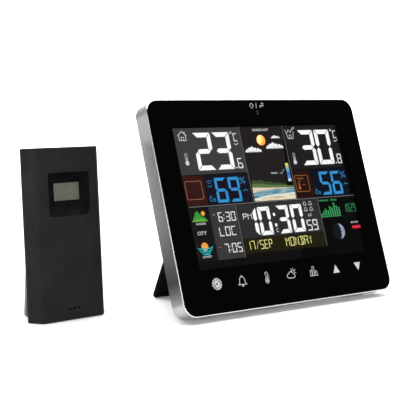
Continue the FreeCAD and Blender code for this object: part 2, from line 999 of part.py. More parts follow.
def rubber_feet(frame):
    """Two pads behind the frame whose undersides lie flat on the table."""
    lean = math.tan(math.radians(value("console_lean")))
    front = value("frame_back")
    back = value("foot_back")
    high = value("foot_high")
    pads = []
    for side in (-1, 1):
        name = "foot_left" if side < 0 else "foot_right"
        body = new_body(name)
        start = f"{side} * foot_x - foot_width / 2"
        outline = new_sketch(body, name + "_outline", "YZ_Plane", start)
        closed_outline(
            outline,
            ((front, 0), (back, (back - front) * lean), (back, high), (front, high)),
        )
        pad(body, name + "_pad", outline, "foot_width", reverse=False)
        pads.append(body)
    return finish("rubber_feet", group("rubber_feet", *pads), frame)


def stand_open_angle():
    """The angle at which the round tip of the folded-out stand rests on the table."""
    lean = math.radians(value("console_lean"))
    behind = value("hinge_back") - value("frame_back")
    hinge_z = value("hinge_height") * math.cos(lean) - behind * math.sin(lean)
    tip = value("stand_thick") / 2
    leg = math.acos((hinge_z - tip) / (value("stand_length") - tip))
    return value("console_lean") + math.degrees(leg)


def console_stand():
    """The fold-out flap, drawn folded with its hinge axis at the origin."""
    body = new_body("console_stand")
    outline = new_sketch(body, "stand_outline", "XZ_Plane", "stand_thick / 2")
    half = value("stand_width") / 2
    top = value("stand_thick") / 2
    low = -value("stand_length")
    closed_outline(outline, ((-half, low), (half, low), (half, top), (-half, top)))
    pad(body, "stand_flap", outline, "stand_thick")

    def square_corner(edge):
        return edge.BoundBox.ZMin > -1 and runs_along(edge, AXIS_X)

    def tip(edge):
        low = abs(edge.BoundBox.ZMin + value("stand_length")) < 1e-4
        return low and runs_along(edge, AXIS_X)

    dress(body, "stand_barrel", "Fillet", "stand_thick / 2 - hair", square_corner)
    dress(
        body,
        "stand_corners",
        "Fillet",
        "stand_corner",
        lambda e: runs_along(e, AXIS_Y) and e.BoundBox.ZMax < low + 1,
    )
    dress(body, "stand_tip", "Fillet", "stand_thick / 2 - hair", tip)
    panel = new_sketch(body, "stand_panel_outline", "XZ_Plane", "-stand_thick / 2")
    rounded_outline(panel, "panel_width", "panel_height", "stand_corner", "panel_middle")
    pocket(body, "stand_panel", panel, "1", reverse=True)
    for side, reverse in (("left", True), ("right", False)):
        hole_outline = new_sketch(
            body,
            f"stand_bore_{side}_outline",
            "YZ_Plane",
            "stand_width / 2" if side == "right" else "-stand_width / 2",
        )
        hole_outline.addGeometry(
            Part.Circle(
                FreeCAD.Vector(), AXIS_Z, value("hinge_pin_radius") + value("hinge_fit")
            )
        )
        pocket(body, f"stand_bore_{side}", hole_outline, "4", reverse=reverse)
    hinge = FreeCAD.Vector(0, value("hinge_back"), value("hinge_height"))
    turn = FreeCAD.Rotation(AXIS_X, stand_open_angle())
    moved = console_pose() * FreeCAD.Placement(hinge, turn)
    return finish("console_stand", body, moved=moved)


def stand_hinge_pins(frame):
    pins = []
    for side in (-1, 1):
        name = "hinge_pin_left" if side < 0 else "hinge_pin_right"
        end = "stand_width / 2 + stand_side_gap + recess_wall - bite"
        start = f"{end} - hinge_pin_length" if side > 0 else f"-({end})"
        pins.append(
            rod(name, "x", "hinge_pin_radius", "hinge_pin_length", (start, "hinge_back", "hinge_height"))
        )
    return finish("stand_hinge_pins", group("stand_hinge_pins", *pins), frame)


# ---------------------------------------------------------------- outdoor sensor


def sensor_front_shell():
    """One deep black shell; its floor is cut so that the leaning shell stands flat."""
    body = new_body("sensor_front_shell")
    outline = new_sketch(body, "sensor_outline", "XY_Plane", "0")
    half = value("sensor_width") / 2
    depth = value("sensor_depth")
    flared = half + value("sensor_flare")
    flare_depth = value("sensor_flare_depth")
    lip = flare_depth + value("sensor_flare_lip")
    right = ((half, 0), (flared, flare_depth), (flared, lip), (half, lip), (half, depth))
    closed_outline(outline, (*right, *((-x, y) for x, y in reversed(right))))
    pad(body, "sensor_block", outline, "sensor_height", reverse=False)
    wedge = new_sketch(body, "sensor_foot_outline", "YZ_Plane", "-sensor_width")
    rise = math.tan(math.radians(value("sensor_lean")))
    closed_outline(wedge, ((-5, -5 * rise), (30, 30 * rise), (30, -10), (-5, -10)))
    pocket(body, "sensor_foot_cut", wedge, "2 * sensor_width", reverse=True)

    def front_upright(edge):
        return runs_along(edge, AXIS_Z) and edge.BoundBox.YMax < 1e-4

    def back_upright(edge):
        return runs_along(edge, AXIS_Z) and edge.BoundBox.YMin > depth - 1e-4

    def top_loop(edge):
        return edge.BoundBox.ZMin > value("sensor_height") - 1e-4

    def bottom_loop(edge):
        return edge.BoundBox.ZMax < depth * rise + 1e-3

    dress(body, "sensor_front_round", "Fillet", "sensor_edge", front_upright)
    dress(body, "sensor_top_round", "Fillet", "sensor_top_edge", top_loop)
    dress(
        body,
        "sensor_bottom_round",
        "Fillet",
        "sensor_bottom_edge",
        lambda e: bottom_loop(e) and e.BoundBox.YMin < flare_depth - 0.1,
    )
    dress(body, "sensor_back_round", "Fillet", "sensor_back_edge", back_upright)
    wall = value("sensor_wall")
    room = new_sketch(body, "sensor_room_outline", "XZ_Plane", "-sensor_depth")
    low = value("sensor_floor")
    high = value("sensor_height") - wall
    inner = half - wall
    closed_outline(room, ((-inner, low), (inner, low), (inner, high), (-inner, high)))
    pocket(body, "sensor_room", room, "sensor_depth - sensor_front_wall", reverse=True)
    wings = new_sketch(body, "sensor_wings_outline", "XY_Plane", "sensor_floor")
    slope = math.hypot(value("sensor_flare"), flare_depth)
    face = half - wall * slope / flare_depth
    front = value("sensor_front_wall")
    rear = lip - wall
    per_depth = value("sensor_flare") / flare_depth
    near = face + front * per_depth
    far = face + rear * per_depth
    closed_outline(wings, ((-near, front), (near, front), (far, rear), (-far, rear)))
    pocket(
        body,
        "sensor_wings",
        wings,
        "sensor_height - sensor_wall - sensor_floor",
        reverse=True,
    )
    dress(
        body,
        "sensor_room_round",
        "Fillet",
        "sensor_edge - sensor_front_wall",
        lambda e: abs(e.BoundBox.YMin - value("sensor_front_wall")) < 1e-4
        and e.BoundBox.ZLength > value("sensor_height") / 2
        and runs_along(e, AXIS_Z),
    )
    stand_way = new_sketch(body, "sensor_stand_way_outline", "XZ_Plane", "-sensor_depth")
    closed_outline(stand_way, ((-inner, -1), (inner, -1), (inner, low + 1), (-inner, low + 1)))
    pocket(body, "sensor_stand_way", stand_way, "sensor_depth - back_plate_back", reverse=True)
    door_way = new_sketch(body, "sensor_door_way_outline", "XZ_Plane", "-sensor_depth")
    door = value("sensor_door_half") + value("tongue_width") + value("slide_fit")
    closed_outline(door_way, ((-door, -1), (door, -1), (door, low + 1), (-door, low + 1)))
    pocket(
        body,
        "sensor_door_way",
        door_way,
        "sensor_depth - sensor_door_front + slide_fit",
        reverse=True,
    )
    window = new_sketch(body, "sensor_window_seat_outline", "XZ_Plane", "0")
    rounded_outline(window, "window_seat_width", "window_seat_height", "window_corner", "window_middle")
    pocket(body, "sensor_window_seat", window, "window_thick", reverse=False)
    hole = new_sketch(body, "sensor_view_outline", "XZ_Plane", "0")
    margin = value("sensor_view_margin")
    left = value("sensor_lcd_x") - value("sensor_lcd_width") / 2 - margin
    right = value("sensor_lcd_x") + value("sensor_lcd_width") / 2 + margin
    bottom = value("sensor_lcd_height") - value("sensor_lcd_tall") / 2 - margin
    top = value("sensor_lcd_height") + value("sensor_lcd_tall") / 2 + margin
    closed_outline(hole, ((left, bottom), (right, bottom), (right, top), (left, top)))
    pocket(body, "sensor_view", hole, "sensor_front_wall + overlap", reverse=False)
    air = new_sketch(body, "sensor_air_outline", "XZ_Plane", "0")
    for step in (-1, 0, 1):
        centre = FreeCAD.Vector(step * value("probe_pitch"), value("probe_height"), 0)
        air.addGeometry(Part.Circle(centre, AXIS_Z, value("probe_hole")))
    pocket(body, "sensor_air_holes", air, "sensor_front_wall + overlap", reverse=False)
    posts = new_sketch(body, "sensor_posts_outline", "XZ_Plane", "-(sensor_front_wall - overlap)")
    for x, z in sensor_boss_points():
        posts.addGeometry(
            Part.Circle(FreeCAD.Vector(x, z, 0), AXIS_Z, value("sensor_boss_radius"))
        )
    pad(body, "sensor_posts", posts, "back_plate_front - sensor_front_wall + bite")
    threads = new_sketch(body, "sensor_threads_outline", "XZ_Plane", "-back_plate_front")
    for x, z in sensor_boss_points():
        threads.addGeometry(
            Part.Circle(FreeCAD.Vector(x, z, 0), AXIS_Z, value("thread_radius"))
        )
    pocket(body, "sensor_threads", threads, "screw_length - 1", reverse=True)
    pins = new_sketch(body, "sensor_pin_outline", "YZ_Plane", "-(sensor_width / 2 - bite)")
    pins.addGeometry(
        Part.Circle(
            FreeCAD.Vector(value("sensor_hinge_back"), value("sensor_hinge_height"), 0),
            AXIS_Z,
            value("sensor_pin_radius"),
        )
    )
    pocket(body, "sensor_pin_holes", pins, "sensor_width - 2 * bite", reverse=True)
    return finish("sensor_front_shell", body, moved=sensor_pose())


def sensor_boss_points():
    x = value("sensor_boss_x")
    heights = (value("sensor_boss_low"), value("sensor_boss_high"))
    return [(side * x, z) for side in (-1, 1) for z in heights]


def sensor_window(shell):
    body = new_body("sensor_window")
    outline = new_sketch(body, "window_outline", "XZ_Plane", "0")
    rounded_outline(outline, "window_width", "window_height", "window_corner", "window_middle")
    pad(body, "window_sheet", outline, "window_thick - 0.05")
    return finish("sensor_window", body, shell)


def sensor_display(shell):
    glass = block(
        "sensor_lcd_block",
        around("sensor_lcd_x", "sensor_lcd_width / 2"),
        ("window_thick + 0.05", "window_thick + 0.05 + sensor_lcd_thick"),
        around("sensor_lcd_height", "sensor_lcd_tall / 2"),
    )
    rim = block(
        "sensor_lcd_rim",
        around("sensor_lcd_x", "sensor_lcd_width / 2 + 2"),
        ("sensor_front_wall + small_gap", "window_thick + 0.05 + sensor_lcd_thick"),
        around("sensor_lcd_height", "sensor_lcd_tall / 2 + 2"),
    )
    return finish("sensor_display", join("sensor_display", glass, rim), shell)


def sensor_circuit_board(shell):
    board = block(
        "sensor_board_block",
        both("sensor_board_width / 2"),
        ("sensor_board_front", "sensor_board_front + board_thick"),
        ("sensor_board_low + sensor_board_notch", "sensor_board_low + sensor_board_height"),
    )
    tail = block(
        "sensor_board_tail",
        both("sensor_board_width / 2 - 4"),
        ("sensor_board_front", "sensor_board_front + board_thick"),
        ("sensor_board_low", "sensor_board_low + sensor_board_notch"),
    )
    return finish("sensor_circuit_board", join("sensor_circuit_board", board, tail), shell)


def sensor_chip(shell):
    front = "sensor_board_front + board_thick"
    chip = block("sensor_chip", around("6", "4"), (front, f"{front} + chip_thick"), around("88", "4"))
    marked = chamfer("sensor_chip_edges", chip, 0.3, lambda edge: runs_along(edge, AXIS_Y))
    return finish("sensor_chip", marked, shell)


def sensor_antenna(shell):
    back = "sensor_board_front + board_thick"
    base = block("antenna_base", around("-13", "2"), (back, f"{back} + 2.4"), around("84", "2"))
    wire = rod("antenna_wire", "z", "0.5", "27", ("-13", f"{back} + 1.3", "85"))
    return finish("sensor_antenna", join("sensor_antenna", base, wire), shell)


def sensor_probe(shell):
    bead = block(
        "probe_block",
        both("probe_pitch + 1.5"),
        ("sensor_front_wall + 0.3", "tub_front - 0.3"),
        around("probe_height", "2.2"),
    )
    rounded = fillet("sensor_probe", bead, 0.6, lambda edge: runs_along(edge, AXIS_Y))
    return finish("sensor_probe", rounded, shell)


def sensor_back_cover(shell):
    inner = "sensor_width / 2 - sensor_wall - cover_fit"
    plate = block(
        "sensor_plate",
        both(inner),
        ("back_plate_front", "back_plate_back"),
        ("sensor_floor + cover_fit", "back_block_low + sensor_wall"),
    )
    block_out = block(
        "sensor_back_block",
        both(inner),
        ("back_plate_front", "sensor_depth"),
        ("back_block_low", "sensor_height - sensor_wall - cover_fit"),
    )
    block_in = block(
        "sensor_back_room",
        both(inner + " - sensor_wall"),
        ("0", "sensor_depth - sensor_wall"),
        (
            "back_block_low + sensor_wall",
            "sensor_height - 2 * sensor_wall - cover_fit",
        ),
    )
    tub = block(
        "tub_block",
        both("tub_half_width"),
        ("tub_front", "back_plate_back - overlap"),
        ("tub_low", "tub_high"),
    )
    tub_room = block(
        "tub_room",
        both("tub_half_width - tub_wall"),
        ("tub_front + tub_wall", "sensor_depth"),
        ("tub_low + tub_wall", "tub_high - tub_wall"),
    )
    door_way = block(
        "sensor_door_opening",
        both("sensor_door_half + slide_fit"),
        ("sensor_door_front - slide_fit", "sensor_depth"),
        ("0", "sensor_door_high + slide_fit"),
    )
    door_groove = block(
        "sensor_door_groove",
        both("sensor_door_half + tongue_width + slide_fit"),
        ("sensor_door_front - slide_fit", "sensor_door_front + 0.75"),
        ("0", "sensor_door_high + slide_fit"),
    )
    hang_start = "sensor_depth - sensor_wall - 1"
    hang = [
        rod("hang_entry", "y", "hang_radius", "sensor_wall + 2", ("0", hang_start, "hang_height")),
        block(
            "hang_neck",
            both("hang_slot"),
            (hang_start, "sensor_depth + 1"),
            ("hang_height", "hang_height + hang_rise"),
        ),
        rod(
            "hang_end",
            "y",
            "hang_slot",
            "sensor_wall + 2",
            ("0", hang_start, "hang_height + hang_rise"),
        ),
    ]
    holes = []
    for number, (x, z) in enumerate(sensor_boss_points()):
        holes.append(
            rod(f"plate_hole_{number}", "y", "screw_hole", "sensor_depth", (x, "0", z))
        )
        holes.append(
            rod(
                f"plate_head_hole_{number}",
                "y",
                "screw_head_radius + 0.2",
                "3",
                (x, "back_plate_back - screw_head_height - small_gap", z),
            )
        )
    hollow_block = cut("sensor_back_hollow", join("sensor_back_all", plate, block_out), block_in)
    whole = join("sensor_back_whole", hollow_block, tub)
    cover = cut("sensor_back_cover", whole, tub_room, door_way, door_groove, *hang, *holes)
    return finish("sensor_back_cover", cover, shell)


def sensor_battery_door(shell):
    z = ("sensor_door_low", "sensor_door_high")
    front = "sensor_door_front"
    plate = block("sensor_door_plate", both("sensor_door_half"), (front, "back_plate_back"), z)
    tongues = block(
        "sensor_door_tongues",
        both("sensor_door_half + tongue_width"),
        (front, f"{front} + 0.6"),
        ("sensor_floor + 2", "sensor_door_high"),
    )
    grips = [
        block(
            f"sensor_door_grip_{number}",
            both("6"),
            ("back_plate_back - bite", "back_plate_back + 1"),
            around(f"sensor_door_high - 5 - {number} * 2", "0.5"),
        )
        for number in range(4)
    ]
    solid = join("sensor_door_solid", plate, tongues)
    return finish("sensor_battery_door", cut("sensor_battery_door", solid, *grips), shell)


def sensor_batteries(shell):
    cells = [
        cell(
            f"sensor_cell_{number}",
            "z",
            (f"{side} * sensor_cell_pitch / 2", "sensor_cell_depth", "sensor_cell_low"),
            side < 0,
        )
        for number, side in enumerate((-1, 1))
    ]
    return finish("sensor_batteries", group("sensor_batteries", *cells), shell)


def sensor_contact_springs(shell):
    top = "sensor_cell_low + cell_length + cell_nub_length + 0.3"
    low = "sensor_cell_low - 2.9"
    springs = [
        spring("sensor_spring_0", "z", ("-sensor_cell_pitch / 2", "sensor_cell_depth", top), 4),
        spring("sensor_spring_1", "z", ("sensor_cell_pitch / 2", "sensor_cell_depth", low), 2.5),
    ]
    return finish("sensor_contact_springs", group("sensor_contact_springs", *springs), shell)


def sensor_contact_plates(shell):
    low = "tub_low + tub_wall"
    high = "tub_high - tub_wall"
    plates = []
    for number, (start, end) in enumerate(
        ((f"{low} + 0.02", f"{low} + 0.3"), (f"{high} - 0.3", f"{high} - 0.02"))
    ):
        for side in (-1, 1):
            plates.append(
                block(
                    f"sensor_plate_{number}_{'left' if side < 0 else 'right'}",
                    around(f"{side} * sensor_cell_pitch / 2", "4"),
                    around("sensor_cell_depth", "4"),
                    (start, end),
                )
            )
    return finish("sensor_contact_plates", group("sensor_contact_plates", *plates), shell)


def sensor_screws(shell):
    screws = [
        screw(f"sensor_screw_{number}", x, "back_plate_back - small_gap", z)
        for number, (x, z) in enumerate(sensor_boss_points())
    ]
    return finish("sensor_screws", group("sensor_screws", *screws), shell)


def sensor_stand():
    """The grey easel plate, drawn folded with its hinge axis at the origin."""
    lean = math.radians(value("sensor_lean"))
    tilt = math.radians(value("sensor_stand_open")) - lean
    half = value("sensor_width") / 2 - value("sensor_wall") - value("sensor_stand_gap")
    thick = value("sensor_stand_thick")
    hinge_rise = value("sensor_hinge_height") * math.cos(lean)
    hinge_rise -= value("sensor_hinge_back") * math.sin(lean)
    drop = (hinge_rise - thick / 2 * math.sin(tilt)) / math.cos(tilt)
    body = new_body("sensor_stand")
    outline = new_sketch(body, "sensor_stand_outline", "XZ_Plane", "sensor_stand_thick / 2")
    closed_outline(
        outline,
        ((-half, -drop), (half, -drop), (half, thick / 2), (-half, thick / 2)),
    )
    pad(body, "sensor_stand_plate", outline, "sensor_stand_thick")
    dress(
        body,
        "sensor_stand_barrel",
        "Fillet",
        "sensor_stand_thick / 2 - hair",
        lambda e: runs_along(e, AXIS_X) and e.BoundBox.ZMin > 0,
    )
    dress(
        body,
        "sensor_stand_corners",
        "Fillet",
        "sensor_back_edge",
        lambda e: runs_along(e, AXIS_Y) and e.BoundBox.ZMax < -1,
    )
    for side, start, reverse in (("left", -half, True), ("right", half, False)):
        hole = new_sketch(body, f"sensor_bore_{side}_outline", "YZ_Plane", str(start))
        hole.addGeometry(
            Part.Circle(
                FreeCAD.Vector(), AXIS_Z, value("sensor_pin_radius") + value("hinge_fit")
            )
        )
        pocket(body, f"sensor_bore_{side}", hole, "3.2", reverse=reverse)
    hinge = FreeCAD.Vector(0, value("sensor_hinge_back"), value("sensor_hinge_height"))
    turn = FreeCAD.Rotation(AXIS_X, value("sensor_stand_open"))
    moved = sensor_pose() * FreeCAD.Placement(hinge, turn)
    return finish("sensor_stand", body, moved=moved)


def sensor_stand_pins(shell):
    pins = []
    for side in (-1, 1):
        name = "sensor_pin_left" if side < 0 else "sensor_pin_right"
        end = "sensor_width / 2 - bite"
        start = f"{end} - sensor_pin_length" if side > 0 else f"-({end})"
        pins.append(
            rod(
                name,
                "x",
                "sensor_pin_radius",
                "sensor_pin_length",
                (start, "sensor_hinge_back", "sensor_hinge_height"),
            )
        )
    return finish("sensor_stand_pins", group("sensor_stand_pins", *pins), shell)


# ---------------------------------------------------------------- build, check and write


def build_console():
    frame = middle_frame()
    front_glass(frame)
    flat_panel("display_panel", frame, "display_front", "display_thick")
    flat_panel("backlight_panel", frame, "backlight_front", "backlight_thick")
    for make in (
        display_holder,
        touch_key_board,
        touch_key_pads,
        main_circuit_board,
        controller_chip,
        radio_receiver,
        indoor_sensor_element,
        buzzer,
        dc_power_socket,
        back_cover,
        cover_screws,
        console_battery_door,
        console_batteries,
        console_contact_springs,
        console_contact_plates,
        rubber_feet,
        stand_hinge_pins,
    ):
        make(frame)
    console_stand()


def build_sensor():
    shell = sensor_front_shell()
    for make in (
        sensor_window,
        sensor_display,
        sensor_circuit_board,
        sensor_chip,
        sensor_antenna,
        sensor_probe,
        sensor_back_cover,
        sensor_battery_door,
        sensor_batteries,
        sensor_contact_springs,
        sensor_contact_plates,
        sensor_screws,
        sensor_stand_pins,
    ):
        make(shell)
    sensor_stand()


build_console()
build_sensor()
doc.recompute()

for item in doc.Objects:
    if "Invalid" in item.State or "Error" in item.State:
        raise RuntimeError(f"{item.Label} did not build: {item.State}")

for node, item in finished.items():
    shape = item.Shape
    if shape.isNull() or not shape.isValid() or not shape.Solids:
        raise RuntimeError(f"{node} has no sound shape")
    shape.exportStep(f"parts/{node}.step")
    box = shape.BoundBox
    print(
        f"{node}: {len(shape.Solids)} solid(s), {shape.Volume:.1f} mm3, "
        f"x {box.XMin:.1f} {box.XMax:.1f}, y {box.YMin:.1f} {box.YMax:.1f}, "
        f"z {box.ZMin:.2f} {box.ZMax:.2f}"
    )
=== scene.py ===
import bpy
import bmesh
import json
import math
from mathutils import Matrix, Vector


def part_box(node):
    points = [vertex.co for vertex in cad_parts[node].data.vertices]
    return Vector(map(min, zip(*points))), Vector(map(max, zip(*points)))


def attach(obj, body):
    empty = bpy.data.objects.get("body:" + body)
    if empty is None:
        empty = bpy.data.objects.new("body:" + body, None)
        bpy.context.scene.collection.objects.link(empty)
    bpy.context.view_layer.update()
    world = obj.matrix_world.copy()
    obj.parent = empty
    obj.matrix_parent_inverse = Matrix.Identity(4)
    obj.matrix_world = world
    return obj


# The looks of the weather station: the lit display and printed keys of the console, the
# materials of both units, and a plain studio round them. Everything is in metres in the
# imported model's frame; what is drawn on the console's front is laid out in millimetres.

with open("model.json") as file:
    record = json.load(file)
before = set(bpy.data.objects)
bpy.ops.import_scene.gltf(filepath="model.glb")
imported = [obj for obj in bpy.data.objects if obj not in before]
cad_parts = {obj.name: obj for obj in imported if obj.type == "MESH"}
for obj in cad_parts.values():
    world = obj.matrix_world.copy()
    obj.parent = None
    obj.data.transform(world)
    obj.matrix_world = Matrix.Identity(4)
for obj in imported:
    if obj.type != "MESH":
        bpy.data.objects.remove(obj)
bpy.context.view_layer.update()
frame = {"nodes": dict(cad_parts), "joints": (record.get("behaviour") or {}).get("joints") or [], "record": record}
nodes = frame["nodes"]

MM = 0.001
FRAME_DEPTH = 15.0
GLASS_BOTTOM = 0.5
GLASS_WIDTH = 200.0
GLASS_HEIGHT = 155.0
# how far the sensor_base mount lies behind the sensor's front
SENSOR_BASE_DEPTH = 8.0

# ---------------------------------------------------------------- where the two units are


def joint(name):
    return next(j for j in frame["joints"] if j["name"] == name)


def mount(name):
    return next(m for m in frame["record"]["mounts"] if m["name"] == name)


def console_pose():
    """From the console's own upright frame, in mm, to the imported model's frame."""
    up = Vector(joint("battery_door_slide")["axis"])
    lean = math.atan2(up.y, up.z)
    low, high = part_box("front_glass")
    foot = Vector(((low.x + high.x) / 2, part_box("rubber_feet")[0].y, 0))
    turn = Matrix.Rotation(-lean, 4, "X")
    back = Matrix.Translation((0, -FRAME_DEPTH, 0))
    return Matrix.Translation(foot) @ turn @ Matrix.Scale(MM, 4) @ back


def sensor_pose():
    """The same for the sensor; its frame starts at the middle of its front bottom edge."""
    across = Vector(joint("sensor_stand_fold")["axis"]).normalized()
    up = -Vector(joint("sensor_door_slide")["axis"]).normalized()
    back = up.cross(across)
    turn = Matrix((across, back, up)).transposed().to_4x4()
    base = mount("sensor_base")
    lean = math.asin(-back.z)
    to_base = Vector((0, SENSOR_BASE_DEPTH, SENSOR_BASE_DEPTH * math.tan(lean)))
    start = Vector(base["pos_m"]) - turn @ to_base * MM
    return Matrix.Translation(start) @ turn @ Matrix.Scale(MM, 4)


CONSOLE = console_pose()
SENSOR = sensor_pose()

# ---------------------------------------------------------------- material helpers

LOW_GLOSS = 0.05
SHELL_GLOSS = 0.1


def linear(*rgb):
    """A colour given as it looks on a screen, 0 to 255, as the shader needs it."""
    out = []
    for level in rgb:
        level /= 255
        out.append(level / 12.92 if level <= 0.04045 else ((level + 0.055) / 1.055) ** 2.4)
    return (*out, 1.0)


class Look:
    """A procedural material with short ways to add nodes to it."""

    def __init__(self, name, colour, roughness=0.5, metallic=0.0):
        self.mat = bpy.data.materials.new(name)
        self.mat.use_nodes = True
        self.tree = self.mat.node_tree
        self.shader = self.tree.nodes["Principled BSDF"]
        self.set("Base Color", colour)
        self.set("Roughness", roughness)
        self.set("Metallic", metallic)
        self.place = None

    def set(self, socket, number):
        self.shader.inputs[socket].default_value = number

    def node(self, kind, **settings):
        node = self.tree.nodes.new(kind)
        for key, setting in settings.items():
            setattr(node, key, setting)
        return node

    def link(self, start, end):
        self.tree.links.new(start, end)

    def plug(self, node, socket, source):
        """Connects an output to a socket, or sets the socket to a number or colour."""
        if hasattr(source, "links"):
            self.link(source, node.inputs[socket])
        else:
            node.inputs[socket].default_value = source

    def local(self, pose):
        """Coordinates in millimetres in the frame of one of the two units."""
        if self.place is None:
            coordinates = self.node("ShaderNodeTexCoord")
            mapping = self.node("ShaderNodeMapping", vector_type="TEXTURE")
            where, turn, scale = pose.decompose()
            mapping.inputs["Location"].default_value = where
            mapping.inputs["Rotation"].default_value = turn.to_euler()
            mapping.inputs["Scale"].default_value = scale
            self.link(coordinates.outputs["Object"], mapping.inputs["Vector"])
            self.place = mapping.outputs["Vector"]
        return self.place

    def scaled(self, vector, scale):
        mapping = self.node("ShaderNodeMapping")
        mapping.inputs["Scale"].default_value = scale
        self.link(vector, mapping.inputs["Vector"])
        return mapping.outputs["Vector"]

    def noise(self, vector, scale, detail=3.0, rough=0.55):
        noise = self.node("ShaderNodeTexNoise")
        noise.inputs["Scale"].default_value = scale
        noise.inputs["Detail"].default_value = detail
        noise.inputs["Roughness"].default_value = rough
        self.link(vector, noise.inputs["Vector"])
        return noise.outputs["Fac"]

    def ranged(self, value, low, high, start=0.3, end=0.7):
        spread = self.node("ShaderNodeMapRange")
        spread.inputs["From Min"].default_value = start
        spread.inputs["From Max"].default_value = end
        spread.inputs["To Min"].default_value = low
        spread.inputs["To Max"].default_value = high
        self.link(value, spread.inputs["Value"])
        return spread.outputs["Result"]

    def sum(self, kind, a, b=None):
        node = self.node("ShaderNodeMath", operation=kind)
        self.plug(node, 0, a)
        if b is not None:
            self.plug(node, 1, b)
        return node.outputs[0]

    def blend(self, factor, a, b):
        node = self.node("ShaderNodeMix", data_type="RGBA")
        self.plug(node, "Factor", factor)
        self.plug(node, 6, a)
        self.plug(node, 7, b)
        return node.outputs[2]

    def bump(self, height, distance, strength):
        bump = self.node("ShaderNodeBump")
        bump.inputs["Strength"].default_value = strength
        bump.inputs["Distance"].default_value = distance
        self.link(height, bump.inputs["Height"])
        self.link(bump.outputs["Normal"], self.shader.inputs["Normal"])

    def to(self, socket, source):
        self.link(source, self.shader.inputs[socket])

    def split(self, vector):
        node = self.node("ShaderNodeSeparateXYZ")
        self.link(vector, node.inputs[0])
        return node.outputs

    def inside(self, vector, centre, half):
        """1 within a rectangle on the front of a unit, 0 outside it."""
        x, _, z = self.split(vector)
        across = self.sum("ABSOLUTE", self.sum("SUBTRACT", x, centre[0]))
        upward = self.sum("ABSOLUTE", self.sum("SUBTRACT", z, centre[1]))
        return self.sum(
            "MULTIPLY",
            self.sum("LESS_THAN", across, half[0]),
            self.sum("LESS_THAN", upward, half[1]),
        )


def dress(look, *names):
    """Gives a CAD node or a piece its material in every slot."""
    for name in names:
        item = nodes[name] if isinstance(name, str) else name
        if not item.data.materials:
            item.data.materials.append(look.mat)
        for index in range(len(item.data.materials)):
            item.data.materials[index] = look.mat


# ---------------------------------------------------------------- materials of the housings


def moulded(name, colour, pose, roughness=0.5, grain=0.012, pitch=3.2, spread=1.0):
    """Moulded plastic: a fine spark texture, faint wear and uneven gloss."""
    look = Look(name, colour, roughness)
    place = look.local(pose)
    fine = look.noise(place, pitch, 2.0, 0.6)
    broad = look.noise(place, 0.045, 4.0, 0.6)
    tint = tuple(min(1, c * (1 + 0.35 * spread) + 0.002) for c in colour[:3]) + (1.0,)
    shade = tuple(c * (1 - 0.15 * spread) for c in colour[:3]) + (1.0,)
    look.to("Base Color", look.blend(look.ranged(broad, 0, 1), shade, tint))
    mixed = look.sum("ADD", look.ranged(fine, -0.05, 0.05), look.ranged(broad, -0.04, 0.06))
    look.to("Roughness", look.sum("ADD", mixed, roughness))
    look.bump(fine, grain * MM, 0.8)
    return look


# the silver frame is polished to this depth; its lighter colour there is partly a painted highlight
POLISHED_EDGE = 0.72


def brushed_frame():
    """Brushed silver: fine streaks that run round the frame, a painted shade band low down, and polished front
    edges made lighter partly as a painted highlight.
    """
    look = Look("silver_frame", linear(188, 188, 189), 0.36, 1.0)
    place = look.local(CONSOLE)
    streak = look.noise(look.scaled(place, (0.03, 9.0, 0.03)), 1.0, 4.0, 0.7)
    patch = look.noise(look.scaled(place, (0.25, 2.2, 0.25)), 1.0, 3.0, 0.6)
    fine = look.noise(place, 2.4, 2.0, 0.7)
    grey = look.blend(look.ranged(streak, 0, 1), linear(154, 154, 155), linear(206, 206, 207))
    grey = look.blend(look.ranged(patch, 0, 0.35), grey, linear(224, 224, 226))
    _, depth, height = look.split(place)
    # painted shade: darkens the frame towards dark grey from 8 to 74 mm up, deepest at 26 mm
    painted_shade_band = look.sum("MULTIPLY", look.ranged(height, 0, 1, 8, 26), look.ranged(height, 1, 0, 26, 74))
    grey = look.blend(look.sum("MULTIPLY", painted_shade_band, 0.88), grey, linear(76, 76, 77))
    # polished front edge: really smoother, and its lighter colour is partly a painted highlight
    polished_edge_highlight = look.sum("LESS_THAN", depth, POLISHED_EDGE)
    look.to("Base Color", look.blend(polished_edge_highlight, grey, linear(246, 246, 247)))
    rough = look.sum("ADD", look.ranged(streak, 0.3, 0.46), look.ranged(fine, -0.03, 0.03))
    polished = look.sum("SUBTRACT", rough, look.sum("MULTIPLY", polished_edge_highlight, 0.2))
    look.to("Roughness", polished)
    look.set("Anisotropic", 0.5)
    look.bump(look.sum("ADD", streak, fine), 0.012 * MM, 0.6)
    return look


WINDOW_WIDTH = 163.3
WINDOW_HEIGHT = 103.8
WINDOW_LEFT = -81.4
WINDOW_TOP = 135.7
# lower than real glass, so the black front mirrors less of the studio
GLASS_IOR = 1.2
WINDOW_IOR = 1.45


def front_glass():
    """Glass printed black on its back, clear over the display."""
    look = Look("black_glass", linear(3, 3, 3), 0.04)
    place = look.local(CONSOLE)
    centre = (WINDOW_LEFT + WINDOW_WIDTH / 2, WINDOW_TOP - WINDOW_HEIGHT / 2)
    clear = look.inside(place, centre, (WINDOW_WIDTH / 2, WINDOW_HEIGHT / 2))
    look.to("Transmission Weight", clear)
    look.to("Base Color", look.blend(clear, linear(4, 4, 4), (1, 1, 1, 1)))
    smear = look.noise(place, 0.05, 4.0, 0.6)
    print_rough = look.ranged(smear, 0.03, 0.09)
    keep = look.sum("SUBTRACT", 1.0, clear)
    look.to("Roughness", look.sum("MULTIPLY", print_rough, keep))
    look.set("IOR", GLASS_IOR)
    return look


